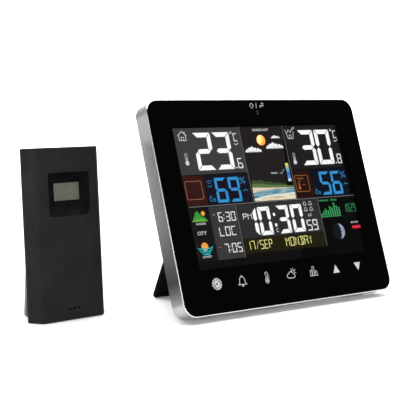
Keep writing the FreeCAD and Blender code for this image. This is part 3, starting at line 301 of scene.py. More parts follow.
def sensor_window_look(lcd_centre, lcd_half):
    look = Look("window_gloss", linear(6, 6, 6), 0.08)
    place = look.local(SENSOR)
    clear = look.inside(place, lcd_centre, lcd_half)
    look.to("Transmission Weight", clear)
    look.to("Base Color", look.blend(clear, linear(5, 5, 5), (1, 1, 1, 1)))
    smear = look.noise(place, 0.12, 4.0, 0.6)
    keep = look.sum("SUBTRACT", 1.0, clear)
    look.to("Roughness", look.sum("MULTIPLY", look.ranged(smear, 0.06, 0.16), keep))
    look.set("IOR", WINDOW_IOR)
    return look


def small_display_look():
    """The sensor's passive display: grey-green and a little uneven."""
    look = Look("small_display", linear(112, 114, 100), 0.35)
    place = look.local(SENSOR)
    uneven = look.noise(place, 0.11, 2.0, 0.5)
    fine = look.noise(place, 6.0, 2.0, 0.5)
    base = look.blend(look.ranged(uneven, 0, 1), linear(92, 96, 87), linear(110, 109, 94))
    tinted = look.blend(look.ranged(fine, 0, 0.25), base, linear(96, 98, 90))
    look.to("Base Color", tinted)
    # painted glow: the passive display emits its own grey-green, though nothing lights it from behind
    look.to("Emission Color", tinted)
    look.set("Emission Strength", 0.45)
    look.to("Roughness", look.ranged(fine, 0.3, 0.45))
    return look


def metal(name, colour, pose, roughness=0.3, pitch=1.5):
    look = Look(name, colour, roughness, 1.0)
    place = look.local(pose)
    fine = look.noise(place, pitch, 4.0, 0.65)
    dark = tuple(c * 0.6 for c in colour[:3]) + (1.0,)
    look.to("Base Color", look.blend(look.ranged(fine, 0, 0.6), colour, dark))
    look.to("Roughness", look.ranged(fine, roughness - 0.08, roughness + 0.12))
    look.bump(fine, 0.01 * MM, 0.5)
    return look


def circuit_board_look(pose):
    """Green solder mask with copper tracks showing faintly through it."""
    look = Look("circuit_board", linear(18, 78, 44), 0.35)
    place = look.local(pose)
    cells = look.node("ShaderNodeTexVoronoi", feature="DISTANCE_TO_EDGE", distance="MANHATTAN")
    cells.inputs["Scale"].default_value = 0.35
    look.link(place, cells.inputs["Vector"])
    track = look.ranged(cells.outputs["Distance"], 1, 0, 0.02, 0.09)
    look.to("Base Color", look.blend(track, linear(14, 70, 38), linear(36, 112, 62)))
    fine = look.noise(place, 3.0, 2.0, 0.5)
    look.to("Roughness", look.ranged(fine, 0.28, 0.45))
    look.bump(track, 0.03 * MM, 0.6)
    return look


def cell_jacket_look(pose, way):
    """A plain printed cell jacket: dark band, light end, worn print."""
    look = Look("cell_jacket_" + way, linear(30, 66, 120), 0.35, 0.4)
    place = look.local(pose)
    band = look.node("ShaderNodeTexWave", wave_type="BANDS", bands_direction=way.upper())
    band.inputs["Scale"].default_value = 0.02
    look.link(place, band.inputs["Vector"])
    scuff = look.noise(place, 0.8, 4.0, 0.7)
    jacket = look.blend(look.sum("GREATER_THAN", band.outputs["Fac"], 0.75),
                        linear(28, 60, 112), linear(196, 198, 202))
    look.to("Base Color", look.blend(look.ranged(scuff, 0, 0.35), jacket, linear(120, 126, 134)))
    look.to("Roughness", look.ranged(scuff, 0.25, 0.5))
    look.bump(scuff, 0.01 * MM, 0.4)
    return look


def light_guide_look():
    look = Look("light_guide", linear(226, 232, 238), 0.4)
    place = look.local(CONSOLE)
    dots = look.node("ShaderNodeTexVoronoi", feature="F1")
    dots.inputs["Scale"].default_value = 0.7
    look.link(place, dots.inputs["Vector"])
    look.to("Roughness", look.ranged(dots.outputs["Distance"], 0.25, 0.6, 0.1, 0.6))
    look.bump(dots.outputs["Distance"], 0.05 * MM, 0.5)
    return look


# ---------------------------------------------------------------- drawing on the fronts

SEVEN = {
    "0": "abcdef",
    "1": "bc",
    "2": "abged",
    "3": "abgcd",
    "4": "fgbc",
    "5": "afgcd",
    "6": "afgedc",
    "7": "abc",
    "8": "abcdefg",
    "9": "abcdfg",
}
# letters and a stroke for the display's 14-segment places: g is the left half of the middle bar,
# r its right half, u and w the upright bars, p q the upper and s t the lower slanting bars
FOURTEEN = {
    "A": "abcefgr",
    "C": "adef",
    "D": "abcduw",
    "E": "adefgr",
    "L": "def",
    "M": "bcefpq",
    "N": "bcefpt",
    "O": "abcdef",
    "P": "abefgr",
    "S": "acdfgr",
    "Y": "pqw",
    "/": "qs",
}
# the gap between two segments, as a share of their width
SEGMENT_GAP = 0.09
LETTER_BOLD = 0.02


def round_corners(left, top, right, bottom, corner):
    """The centres of a box's four round corners, each with the angle where its arc starts."""
    return (
        (right - corner, bottom - corner, 0),
        (left + corner, bottom - corner, 90),
        (left + corner, top + corner, 180),
        (right - corner, top + corner, 270),
    )


class Drawing:
    """Flat shapes in millimetres, to the right and downwards from a corner of the front."""

    def __init__(self):
        self.shapes = []

    def poly(self, points):
        self.shapes.append([tuple(p) for p in points])

    def rect(self, left, top, right, bottom):
        self.poly(((left, top), (right, top), (right, bottom), (left, bottom)))

    def add(self, shape):
        """An outline given as points, or a box given as its four sides."""
        if isinstance(shape[0], tuple):
            self.poly(shape)
        else:
            self.rect(*shape)

    def round_rect(self, left, top, right, bottom, corner, steps=5):
        points = []
        for cx, cy, start in round_corners(left, top, right, bottom, corner):
            for step in range(steps + 1):
                a = math.radians(start + 90 * step / steps)
                points.append((cx + corner * math.cos(a), cy + corner * math.sin(a)))
        self.poly(points)

    def disc(self, x, y, r, steps=28):
        self.poly(
            (x + r * math.cos(math.tau * i / steps), y + r * math.sin(math.tau * i / steps))
            for i in range(steps)
        )

    def ring(self, x, y, r, width, start=0, end=360, steps=28):
        """Part of a ring, drawn as short straight pieces; angles go clockwise from the right."""
        count = max(3, round(steps * abs(end - start) / 360))
        angles = [math.radians(start + (end - start) * i / count) for i in range(count + 1)]
        for a, b in zip(angles, angles[1:]):
            corners = []
            for angle, radius in ((a, r + width / 2), (b, r + width / 2), (b, r - width / 2),
                                  (a, r - width / 2)):
                corners.append((x + radius * math.cos(angle), y + radius * math.sin(angle)))
            self.poly(corners)

    def stroke(self, points, width, closed=False):
        points = list(points)
        if closed:
            points.append(points[0])
        for (x0, y0), (x1, y1) in zip(points, points[1:]):
            length = math.hypot(x1 - x0, y1 - y0)
            dx, dy = (x1 - x0) / length * width / 2, (y1 - y0) / length * width / 2
            self.poly(((x0 - dx - dy, y0 - dy + dx), (x1 + dx - dy, y1 + dy + dx),
                       (x1 + dx + dy, y1 + dy - dx), (x0 - dx + dy, y0 - dy - dx)))

    def digit(self, letter, left, top, width, height, bar):
        """One segment digit or letter that fills a box."""
        gap = bar * SEGMENT_GAP
        w, h, t, mid = width, height, bar, height / 2
        parts = {
            "a": ((gap, 0), (w - gap, 0), (w - t - gap, t), (t + gap, t)),
            "d": ((gap, h), (w - gap, h), (w - t - gap, h - t), (t + gap, h - t)),
            "f": ((0, gap), (t, t + gap), (t, mid - t / 2 - gap), (t / 2, mid - gap),
                  (0, mid - t / 2 - gap)),
            "b": ((w, gap), (w - t, t + gap), (w - t, mid - t / 2 - gap), (w - t / 2, mid - gap),
                  (w, mid - t / 2 - gap)),
            "e": ((0, h - gap), (t, h - t - gap), (t, mid + t / 2 + gap), (t / 2, mid + gap),
                  (0, mid + t / 2 + gap)),
            "c": ((w, h - gap), (w - t, h - t - gap), (w - t, mid + t / 2 + gap),
                  (w - t / 2, mid + gap), (w, mid + t / 2 + gap)),
        }
        if letter in SEVEN:
            parts["g"] = ((t / 2 + gap, mid), (t + gap, mid - t / 2), (w - t - gap, mid - t / 2),
                          (w - t / 2 - gap, mid), (w - t - gap, mid + t / 2), (t + gap, mid + t / 2))
            wanted = SEVEN[letter]
        else:
            half = w / 2
            parts["g"] = ((t / 2 + gap, mid), (t + gap, mid - t / 2), (half - gap, mid - t / 2),
                          (half - gap, mid + t / 2), (t + gap, mid + t / 2))
            parts["r"] = ((w - t / 2 - gap, mid), (w - t - gap, mid - t / 2),
                          (half + gap, mid - t / 2), (half + gap, mid + t / 2),
                          (w - t - gap, mid + t / 2))
            parts["u"] = ((half - t / 2, t), (half + t / 2, t), (half + t / 2, mid - t / 2),
                          (half - t / 2, mid - t / 2))
            parts["w"] = ((half - t / 2, mid + t / 2), (half + t / 2, mid + t / 2),
                          (half + t / 2, h - t), (half - t / 2, h - t))
            inner = t + gap
            parts["p"] = ((inner, inner), (inner + t * 0.6, inner), (half - gap, mid - t / 2),
                          (half - gap - t * 0.6, mid - t / 2))
            parts["q"] = ((w - inner, inner), (w - inner - t * 0.6, inner),
                          (half + gap, mid - t / 2), (half + gap + t * 0.6, mid - t / 2))
            parts["s"] = ((inner, h - inner), (inner + t * 0.6, h - inner),
                          (half - gap, mid + t / 2), (half - gap - t * 0.6, mid + t / 2))
            parts["t"] = ((w - inner, h - inner), (w - inner - t * 0.6, h - inner),
                          (half + gap, mid + t / 2), (half + gap + t * 0.6, mid + t / 2))
            wanted = FOURTEEN[letter]
        for key in wanted:
            self.poly((left + x, top + y) for x, y in parts[key])

    def digits(self, text, left, top, width, height, bar, pitch):
        for letter in text:
            if letter == ":":
                size = bar * 0.9
                for share in (0.32, 0.68):
                    y = top + height * share
                    self.rect(left, y - size / 2, left + size, y + size / 2)
                left += pitch * 0.35
                continue
            if letter != " ":
                self.digit(letter, left, top, width, height, bar)
            left += pitch

    def words(self, text, left, top, height, width=None):
        """Small plain lettering from Blender's own face, as tall as height."""
        curve = bpy.data.curves.new("words", "FONT")
        curve.body = text
        curve.resolution_u = 2
        curve.offset = LETTER_BOLD
        item = bpy.data.objects.new("words", curve)
        mesh = bpy.data.meshes.new_from_object(item)
        xs = [v.co.x for v in mesh.vertices]
        ys = [v.co.y for v in mesh.vertices]
        low_x, high_x, low_y, high_y = min(xs), max(xs), min(ys), max(ys)
        scale = height / (high_y - low_y)
        wide = scale if width is None else width / (high_x - low_x)
        for face in mesh.polygons:
            corners = [mesh.vertices[i].co for i in face.vertices]
            self.poly((left + (c.x - low_x) * wide, top + (high_y - c.y) * scale) for c in corners)
        bpy.data.objects.remove(item)
        bpy.data.meshes.remove(mesh)
        bpy.data.curves.remove(curve)

    def build(self, name, look, pose, corner, depth, thick, body):
        """Makes one thin raised piece of all the shapes, facing the front of the unit."""
        bm = bmesh.new()
        for shape in self.shapes:
            area = sum(x0 * y1 - x1 * y0 for (x0, y0), (x1, y1)
                       in zip(shape, shape[1:] + shape[:1]))
            points = shape if area < 0 else shape[::-1]
            front = [bm.verts.new((corner[0] + x, depth, corner[1] - y)) for x, y in points]
            back = [bm.verts.new((corner[0] + x, depth + thick, corner[1] - y)) for x, y in points]
            bm.faces.new(front[::-1])
            bm.faces.new(back)
            count = len(points)
            for i in range(count):
                j = (i + 1) % count
                bm.faces.new((front[i], front[j], back[j], back[i]))
        bmesh.ops.recalc_face_normals(bm, faces=bm.faces)
        bmesh.ops.triangulate(bm, faces=[f for f in bm.faces if len(f.verts) > 4])
        bm.transform(pose)
        mesh = bpy.data.meshes.new(name)
        bm.to_mesh(mesh)
        bm.free()
        item = bpy.data.objects.new(name, mesh)
        bpy.context.scene.collection.objects.link(item)
        dress(look, item)
        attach(item, body)


def lit(name, colour, strength=1.0):
    """A lit patch of the display, with the faint unevenness of a real backlight."""
    look = Look(name, colour, 0.4)
    place = look.local(CONSOLE)
    uneven = look.ranged(look.noise(place, 0.03, 2.0, 0.5), 0.94, 1.04)
    grain = look.ranged(look.noise(place, 5.0, 2.0, 0.6), 0.97, 1.03)
    level = look.sum("MULTIPLY", look.sum("MULTIPLY", uneven, grain), strength)
    look.set("Emission Color", colour)
    look.to("Emission Strength", level)
    look.set("Base Color", linear(2, 2, 2))
    look.set("Specular IOR Level", LOW_GLOSS)
    look.to("Roughness", look.ranged(look.noise(place, 1.5, 2.0, 0.5), 0.3, 0.5))
    return look


# ---------------------------------------------------------------- what the display shows

SHIFT_RIGHT = 2.1
WINDOW_CORNER = (WINDOW_LEFT + SHIFT_RIGHT, WINDOW_TOP)
# the drawn sheets lie in front of each other, each a step nearer to the glass
LAYER = 0.07
SHEET = 0.03
BACKING, FIELD, PICTURE, READING, DETAIL, GAUGE_BACK, GAUGE_STEP = range(7)
DISPLAY_FRONT = min((CONSOLE.inverted() @ v.co).y for v in nodes["display_panel"].data.vertices)


def on_display(drawing, name, look, layer):
    depth = DISPLAY_FRONT - LAYER * (layer + 1)
    drawing.build("display_" + name, look, CONSOLE, WINDOW_CORNER, depth, SHEET, "console")


def patch(name, colour, shapes, layer, strength=1.0):
    drawing = Drawing()
    for shape in shapes:
        drawing.add(shape)
    on_display(drawing, name, lit("display_" + name, colour, strength), layer)


def mottled_patch(name, colour, other, shape, layer):
    """A patch streaked along with a second colour, as in a small printed landscape."""
    drawing = Drawing()
    drawing.add(shape)
    look = lit("display_" + name, colour)
    streaks = look.noise(look.scaled(look.local(CONSOLE), (0.12, 0.5, 0.9)), 1.0, 4.0, 0.6)
    mix = look.blend(look.ranged(streaks, 0, 1, 0.4, 0.62), colour, other)
    look.to("Emission Color", mix)
    on_display(drawing, name, look, layer)


def display_fields():
    """The coloured fields behind the readings."""
    patch("field_black", linear(3, 3, 3), [(-3.6, -1.0, 163.0, 104.8)], BACKING)
    fields = (
        ("lower", (13, 11, 12), (-3.0, 95.0, 96.0, 104.0)),
        ("indoor", (61, 61, 62), (-1.8, 0.8, 59.4, 35.3)),
        ("outdoor", (29, 29, 31), (103.2, 0.8, 157.6, 35.3)),
        ("comfort", (52, 25, 21), (-1.8, 35.9, 18.2, 58.0)),
        ("humidity_in", (22, 20, 32), (18.7, 35.9, 59.4, 58.0)),
        ("index", (34, 17, 15), (103.2, 35.9, 121.5, 58.0)),
        ("humidity_out", (12, 16, 30), (122.0, 35.9, 158.6, 58.0)),
        ("forecast", (34, 29, 30), (60.6, 0.8, 101.6, 46.0)),
        ("sun_times", (24, 21, 23), (-1.8, 59.2, 17.0, 98.0)),
        ("city", (56, 56, 57), (17.2, 59.2, 41.4, 98.0)),
        ("clock", (46, 46, 47), (42.4, 59.2, 122.0, 84.6)),
        ("date", (33, 30, 11), (42.4, 84.9, 122.0, 96.0)),
        ("pressure", (4, 5, 5), (123.0, 59.2, 161.0, 76.6)),
    )
    for name, shade, box in fields:
        patch("field_" + name, linear(*shade), [box], FIELD)
    lines = [(59.5, 0.3, 59.9, 58.2), (102.1, 0.3, 102.5, 58.2), (0.3, 58.3, 163.0, 58.8),
             (41.6, 59.0, 42.0, 98.0), (122.3, 59.0, 122.7, 96.0)]
    patch("rules", linear(116, 116, 120), lines, PICTURE)


def white_readings():
    drawing = Drawing()
    drawing.digits("23", 15.6, 4.4, 15.8, 28.0, 3.5, 17.4)
    drawing.digits("30", 116.4, 4.4, 15.6, 28.0, 3.5, 17.2)
    drawing.digits("1", 48.0, 62.2, 11.4, 21.2, 3.2, 13)
    drawing.digits("0", 61.0, 62.2, 11.6, 21.2, 3.0, 13)
    drawing.digits("30", 79.0, 62.2, 11.6, 21.2, 3.0, 13.8)
    for y in (68.6, 76.6):
        drawing.rect(75.3, y - 1.1, 77.3, y + 1.1)
    on_display(drawing, "large_readings", lit("display_white", linear(250, 250, 250), 1.05), READING)


def small_white_readings():
    drawing = Drawing()
    drawing.disc(50.4, 31.6, 0.6, 8)
    drawing.digits("6", 52.0, 24.4, 4.6, 7.8, 0.9, 5)
    drawing.disc(151.0, 31.6, 0.6, 8)
    drawing.digits("8", 152.6, 24.4, 4.6, 7.8, 0.9, 5)
    for left in (51.0, 151.8):
        drawing.ring(left, 4.9, 0.7, 0.4, steps=10)
        drawing.digit("C", left + 1.6, 5.4, 3.8, 6.2, 0.75)
    for left in (52.6, 153.2):
        drawing.stroke(((left, 13.4), (left + 1.2, 14.4), (left + 3.6, 13.0)), 0.45)
    drawing.digits("6:30", 24.2, 63.8, 4.0, 6.9, 0.75, 5.0)
    drawing.digits("LOC", 22.8, 74.4, 4.4, 6.8, 0.75, 5.4)
    drawing.digits("7:05", 24.6, 86.8, 4.0, 6.9, 0.75, 5.0)
    drawing.digits("59", 106.6, 74.9, 5.0, 8.4, 1.0, 5.9)
    drawing.digits("P", 46.6, 66.2, 3.6, 4.6, 0.6, 4.4)
    drawing.digits("M", 51.0, 66.2, 4.0, 4.6, 0.6, 4.4)
    on_display(drawing, "small_readings", lit("display_soft_white", linear(232, 232, 234)), READING)


def blue_readings():
    drawing = Drawing()
    drawing.digits("69", 27.0, 38.4, 10.4, 18.4, 2.2, 12.2)
    drawing.digits("56", 129.4, 38.2, 10.2, 18.4, 2.2, 12.0)
    for left, right in ((50.6, 55.4), (152.2, 157.0)):
        drawing.stroke(((right - 0.4, 38.9), (left + 0.4, 43.6)), 0.5)
        drawing.ring(left + 0.9, 40.0, 0.8, 0.45, steps=10)
        drawing.ring(right - 0.9, 42.7, 0.8, 0.45, steps=10)
        drawing.stroke(((left + 1.6, 49.4), (left + 3.0, 48.4), (left + 5.6, 49.0)), 0.45)
    drawing.ring(22.2, 43.0, 1.7, 0.4, 20, 160)
    for x, y in ((20.4, 40.6), (22.2, 40.2), (24.0, 40.6), (21.4, 42.0), (23.0, 42.0)):
        drawing.disc(x, y, 0.42, 8)
    for left in (19.4, 121.8):
        water_drop(drawing, left + 1.9, 53.6, 1.7)
        water_drop(drawing, left + 5.0, 54.6, 1.0)
    on_display(drawing, "humidity", lit("display_blue", linear(50, 142, 204), 1.1), READING)


def water_drop(drawing, x, y, r):
    drawing.ring(x, y + r * 0.3, r * 0.75, 0.35, -30, 210)
    drawing.stroke(((x - r * 0.65, y), (x, y - r * 1.3), (x + r * 0.65, y)), 0.35)


def outline_icons():
    """House, tree, thermometers, bells and the other thin white marks."""
    drawing = Drawing()
    drawing.stroke(((2.8, 6.2), (6.5, 3.2), (10.2, 6.2)), 0.55)
    drawing.stroke(((3.6, 6.2), (3.6, 9.8), (9.4, 9.8), (9.4, 6.2)), 0.5)
    drawing.stroke(((5.4, 9.6), (5.4, 7.4), (7.4, 7.4), (7.4, 9.6)), 0.4)
    drawing.rect(8.4, 3.4, 9.2, 4.8)
    thermometer(drawing, 6.6, 19.4, 9.0)
    thermometer(drawing, 108.2, 22.4, 9.0)
    drawing.stroke(((104.6, 4.0), (106.2, 10.8), (111.2, 10.8), (112.4, 5.4)), 0.45)
    drawing.stroke(((106.0, 6.2), (107.6, 4.0), (109.4, 6.0), (111.0, 3.8)), 0.45)
    drawing.ring(113.4, 4.0, 1.0, 0.4, 180, 300)
    drawing.ring(113.6, 4.0, 2.0, 0.4, 190, 290)
    drawing.stroke(((107.6, 10.6), (107.6, 8.0), (109.4, 8.0), (109.4, 10.6)), 0.4)
    for left in (106.8, 112.4):
        for top in (60.6, 65.0):
            bell(drawing, left, top, 3.4)
    drawing.words("z", 109.4, 70.9, 1.4)
    drawing.words("Z", 111.2, 70.2, 2.0)
    drawing.ring(77.0, 80.6, 1.2, 0.5, 60, 300)
    on_display(drawing, "line_icons", lit("display_line_white", linear(214, 216, 216)), READING)


def thermometer(drawing, x, top, tall):
    r = tall * 0.2
    drawing.disc(x, top + tall - r, r * 0.95, 16)
    drawing.stroke(((x, top + tall * 0.4), (x, top + tall - r)), 0.5)
    side = r * 0.5
    drawing.stroke(((x - side, top + tall - 2 * r), (x - side, top + side)), 0.32)
    drawing.stroke(((x + side, top + tall - 2 * r), (x + side, top + side)), 0.32)
    drawing.ring(x, top + side, side, 0.32, 180, 360)


def bell(drawing, left, top, size):
    mid = left + size / 2
    drawing.stroke(((left, top + size * 0.8), (left + size, top + size * 0.8)), 0.35)
    drawing.ring(mid, top + size * 0.4, size * 0.32, 0.35, 180, 360)
    for side in (-1, 1):
        x = mid + side * size * 0.32
        drawing.stroke(((x, top + size * 0.4), (x + side * size * 0.1, top + size * 0.78)), 0.35)
    drawing.disc(mid, top + size, 0.3, 8)


def small_words():
    drawing = Drawing()
    drawing.words("FORECAST", 72.4, 2.4, 1.9, 15.6)
    drawing.words("CITY", 3.2, 76.4, 2.6, 8.2)
    drawing.words("SUNRISE", 3.6, 70.2, 1.5, 8.6)
    drawing.words("SUNSET", 3.9, 93.9, 1.5, 8.0)
    drawing.words("TREND", 81.6, 36.6, 1.2, 6.6)
    drawing.stroke(((90.6, 37.2), (92.0, 38.0), (95.4, 34.6)), 0.3)
    drawing.words("MOON", 152.4, 79.2, 1.4, 7.4)
    on_display(drawing, "small_words", lit("display_dim_white", linear(206, 206, 208)), READING)


def forecast_picture():
    """Sun and clouds over a shore, with the trend gauge at the right."""
    sun = Drawing()
    sun.disc(78.8, 11.4, 4.1, 32)
    on_display(sun, "sun", sun_look(), PICTURE)
    clouds = Drawing()
    shades = Drawing()
    for x, y, size in ((69.2, 18.6, 1.15), (90.6, 16.2, 1.25), (93.2, 9.2, 0.62)):
        cloud(clouds, x, y, size)
        shades.round_rect(x - 5.6 * size, y + 1.0 * size, x + 5.8 * size, y + 1.5 * size, 0.2)
    on_display(clouds, "clouds", lit("display_cloud", linear(248, 248, 250)), READING)
    on_display(shades, "cloud_shades", lit("display_cloud_shade", linear(196, 200, 206)), DETAIL)
    shore = ((61.0, 42.6), (63.6, 41.6), (67.0, 42.4), (70.0, 41.8), (74.0, 43.4), (79.0, 43.6),
             (83.0, 44.8), (88.0, 44.6), (92.0, 45.8), (101.4, 46.2), (101.4, 49.0), (61.0, 47.4))
    patch("hills", linear(58, 78, 48), [shore], READING)
    near = ((61.0, 44.8), (68.0, 44.6), (76.0, 45.8), (86.0, 46.6), (101.4, 47.2), (101.4, 48.6),
            (61.0, 47.4))
    patch("near_hills", linear(96, 122, 70), [near], DETAIL)
    mottled_patch("sand", linear(238, 228, 200), linear(196, 184, 150), (61.0, 46.0, 101.4, 57.9), PICTURE)
    water = ((61.0, 51.6), (68.0, 50.2), (78.0, 49.6), (90.0, 49.4), (101.4, 48.9), (101.4, 52.8),
             (92.0, 53.4), (82.0, 53.6), (74.0, 53.8), (66.0, 55.2), (61.0, 55.8))
    mottled_patch("water", linear(74, 128, 152), linear(150, 182, 190), water, READING)
    foam = ((61.0, 55.8), (66.0, 55.2), (74.0, 53.8), (82.0, 53.6), (92.0, 53.4), (101.4, 52.8),
            (101.4, 53.7), (92.0, 54.4), (82.0, 54.6), (74.0, 54.9), (66.0, 56.3), (61.0, 56.8))
    patch("foam", linear(232, 236, 234), [foam], DETAIL)
    spire = ((94.6, 47.4), (95.4, 44.0), (95.6, 31.0), (98.4, 29.6), (99.6, 16.0), (101.5, 9.0),
             (101.9, 47.6))
    patch("gauge_back", linear(6, 6, 8), [spire], GAUGE_BACK)
    steps = ((196, 220, 236), (84, 140, 205), (56, 116, 196), (96, 168, 208), (150, 204, 160),
             (222, 222, 96))
    for index, shade in enumerate(steps):
        top = 42.0 - index * 2.4
        patch(f"gauge_{index}", linear(*shade), [(97.2, top, 100.3, top + 2.25)], GAUGE_STEP)


def cloud(drawing, x, y, size):
    """A row of puffs on a flat base."""
    for across, upward, r in ((-4.9, 0.3, 1.3), (-3.0, 0.9, 1.8), (-0.8, 1.3, 2.3), (1.7, 0.8, 1.8),
                              (4.0, 0.6, 1.6), (5.8, 0.2, 1.1)):
        drawing.disc(x + across * size, y + (0.5 - upward) * size, r * size * 0.62, 16)
    drawing.round_rect(x - 6.6 * size, y + 0.4 * size, x + 7.0 * size, y + 1.6 * size, 0.5 * size)


# the sun's bright spot, from the window's upper left corner
SUN_GLOW = (77.6, 9.8)


def sun_look():
    """Orange with a lighter upper left, like a small printed ball."""
    look = Look("display_sun", linear(240, 150, 40), 0.4)
    place = look.local(CONSOLE)
    x, _, z = look.split(place)
    centre_x = WINDOW_LEFT + SUN_GLOW[0]
    centre_z = WINDOW_TOP - SUN_GLOW[1]
    far = look.sum(
        "SQRT",
        look.sum(
            "ADD",
            look.sum("POWER", look.sum("SUBTRACT", x, centre_x), 2.0),
            look.sum("POWER", look.sum("SUBTRACT", z, centre_z), 2.0),
        ),
    )
    shade = look.blend(look.ranged(far, 0, 1, 0.5, 6.5), linear(255, 236, 158), linear(226, 134, 34))
    look.to("Base Color", shade)
    look.to("Emission Color", shade)
    look.set("Emission Strength", 1.0)
    look.to("Roughness", look.ranged(look.noise(place, 1.5), 0.3, 0.5))
    return look


def sun_time_pictures():
    hill = ((0.6, 69.2), (3.0, 66.0), (4.6, 62.6), (6.4, 61.6), (8.2, 63.6), (9.6, 65.4),
            (12.4, 66.6), (14.8, 69.2))
    patch("sunrise_hill", linear(66, 150, 60), [hill], PICTURE)
    patch("sunrise_field", linear(96, 180, 66), [((0.6, 69.3), (4.0, 67.6), (9.0, 67.2),
                                                 (14.8, 69.3))], READING)
    low_sun = Drawing()
    low_sun.disc(11.4, 63.6, 1.7, 20)
    low_sun.disc(7.4, 87.4, 3.0, 24)
    on_display(low_sun, "low_suns", lit("display_low_sun", linear(240, 168, 72)), PICTURE)
    waves = []
    for row, (left, right) in enumerate(((0.4, 14.8), (1.6, 13.6), (3.2, 11.8))):
        top = 87.6 + row * 1.9
        waves.append(((left, top), (left + 2.4, top + 1.0), (left + 5.0, top + 0.5),
                      (left + 7.4, top + 1.2), (right - 2.4, top + 0.7), (right, top - 0.1),
                      (right - 1.4, top + 1.6), (left + 7.4, top + 2.0), (left + 2.0, top + 1.8)))
    patch("sunset_waves", linear(38, 178, 184), waves, READING)
    patch("sunrise_mark", linear(190, 178, 176), [(19.8, 65.0, 21.6, 65.5)], READING)
    patch("sunset_mark", linear(190, 84, 80), [(19.8, 88.8, 21.6, 89.4)], READING)


def frames_and_bars():
    frame_in = Drawing()
    frame_out = Drawing()
    for drawing, left, top, right, bottom in (
        (frame_in, 0.6, 40.0, 15.0, 53.2),
        (frame_out, 103.9, 40.2, 117.4, 52.8),
    ):
        rounded_frame(drawing, left, top, right, bottom, 1.2, 0.4)
    thermometer(frame_out, 107.4, 45.2, 6.0)
    frame_out.words("INDEX", 106.4, 42.0, 1.1, 6.4)
    frame_out.stroke(((107.6, 44.0), (109.4, 44.9)), 0.3)
    frame_out.stroke(((111.0, 47.6), (113.4, 47.6)), 0.35)
    on_display(frame_in, "comfort_frame", lit("display_copper", linear(170, 104, 78)), READING)
    on_display(frame_out, "index_frame", lit("display_orange", linear(176, 104, 50)), READING)
    green = Drawing()
    heights = (3.2, 5.0, 6.8, 5.4, 8.4, 7.4, 11.2, 8.8, 7.4)
    for index, tall in enumerate(heights):
        left = 123.2 + index * 2.35
        pieces = max(2, round(tall / 1.3))
        for step in range(pieces):
            bottom = 74.2 - step * tall / pieces
            green.rect(left, bottom - tall / pieces + 0.34, left + 1.55, bottom)
    green.words("PRESSURE", 124.0, 60.4, 1.3, 9.6)
    green.words("TREND", 135.6, 60.4, 1.3, 6.4)
    green.digits("1029", 148.4, 65.0, 2.2, 6.4, 0.32, 3.3)
    on_display(green, "pressure", lit("display_green", linear(66, 168, 104)), READING)
    date = Drawing()
    date.digits("17/SEP", 45.0, 86.7, 3.3, 6.6, 0.5, 4.15)
    date.digits("MONDAY", 82.2, 86.7, 3.6, 6.6, 0.5, 4.6)
    on_display(date, "date", lit("display_yellow", linear(244, 240, 150), 1.1), READING)
    pill = Drawing()
    pill.round_rect(152.4, 82.6, 162.2, 84.9, 1.1)
    on_display(pill, "red_mark", lit("display_red", linear(222, 52, 66)), READING)


def rounded_frame(drawing, left, top, right, bottom, corner, width):
    """The outline of a rectangle with round corners."""
    drawing.stroke(((left + corner, top), (right - corner, top)), width)
    drawing.stroke(((right, top + corner), (right, bottom - corner)), width)
    drawing.stroke(((right - corner, bottom), (left + corner, bottom)), width)
    drawing.stroke(((left, bottom - corner), (left, top + corner)), width)
    for x, y, start in round_corners(left, top, right, bottom, corner):
        drawing.ring(x, y, corner, width, start, start + 90)


def moon():
    """A lit crescent that bulges to the right, over a dark full disc."""
    shape = []
    centre_x, centre_y, r = 137.6, 86.0, 6.2
    tip, steps, inner = 84, 24, 0.42
    for step in range(steps + 1):
        a = math.radians(-tip + 2 * tip * step / steps)
        shape.append((centre_x + r * math.cos(a), centre_y + r * math.sin(a)))
    for step in range(steps + 1):
        a = math.radians(tip - 2 * tip * step / steps)
        shape.append((centre_x + r * inner * math.cos(a), centre_y + r * math.sin(a)))
    drawing = Drawing()
    drawing.poly(shape)
    look = lit("display_moon", linear(150, 166, 190))
    craters = look.noise(look.local(CONSOLE), 0.9, 4.0, 0.7)
    look.to("Emission Color", look.blend(look.ranged(craters, 0, 1, 0.4, 0.6), linear(84, 100, 130),
                                         linear(196, 206, 220)))
    on_display(drawing, "moon", look, READING)
    shade = Drawing()
    shade.disc(centre_x, centre_y, 6.4, 32)
    on_display(shade, "moon_shade", lit("display_moon_shade", linear(20, 22, 32)), PICTURE)


# ---------------------------------------------------------------- printing on the glass

GLASS_CORNER = (-GLASS_WIDTH / 2, GLASS_BOTTOM + GLASS_HEIGHT)
# depth of each print's front, just in front of the glass, and its thickness
KEY_PRINT = (-0.04, 0.05)
FAINT_PRINT = (-0.03, 0.04)
KEY_ROW = 134.5
TOP_ROW = 4.6


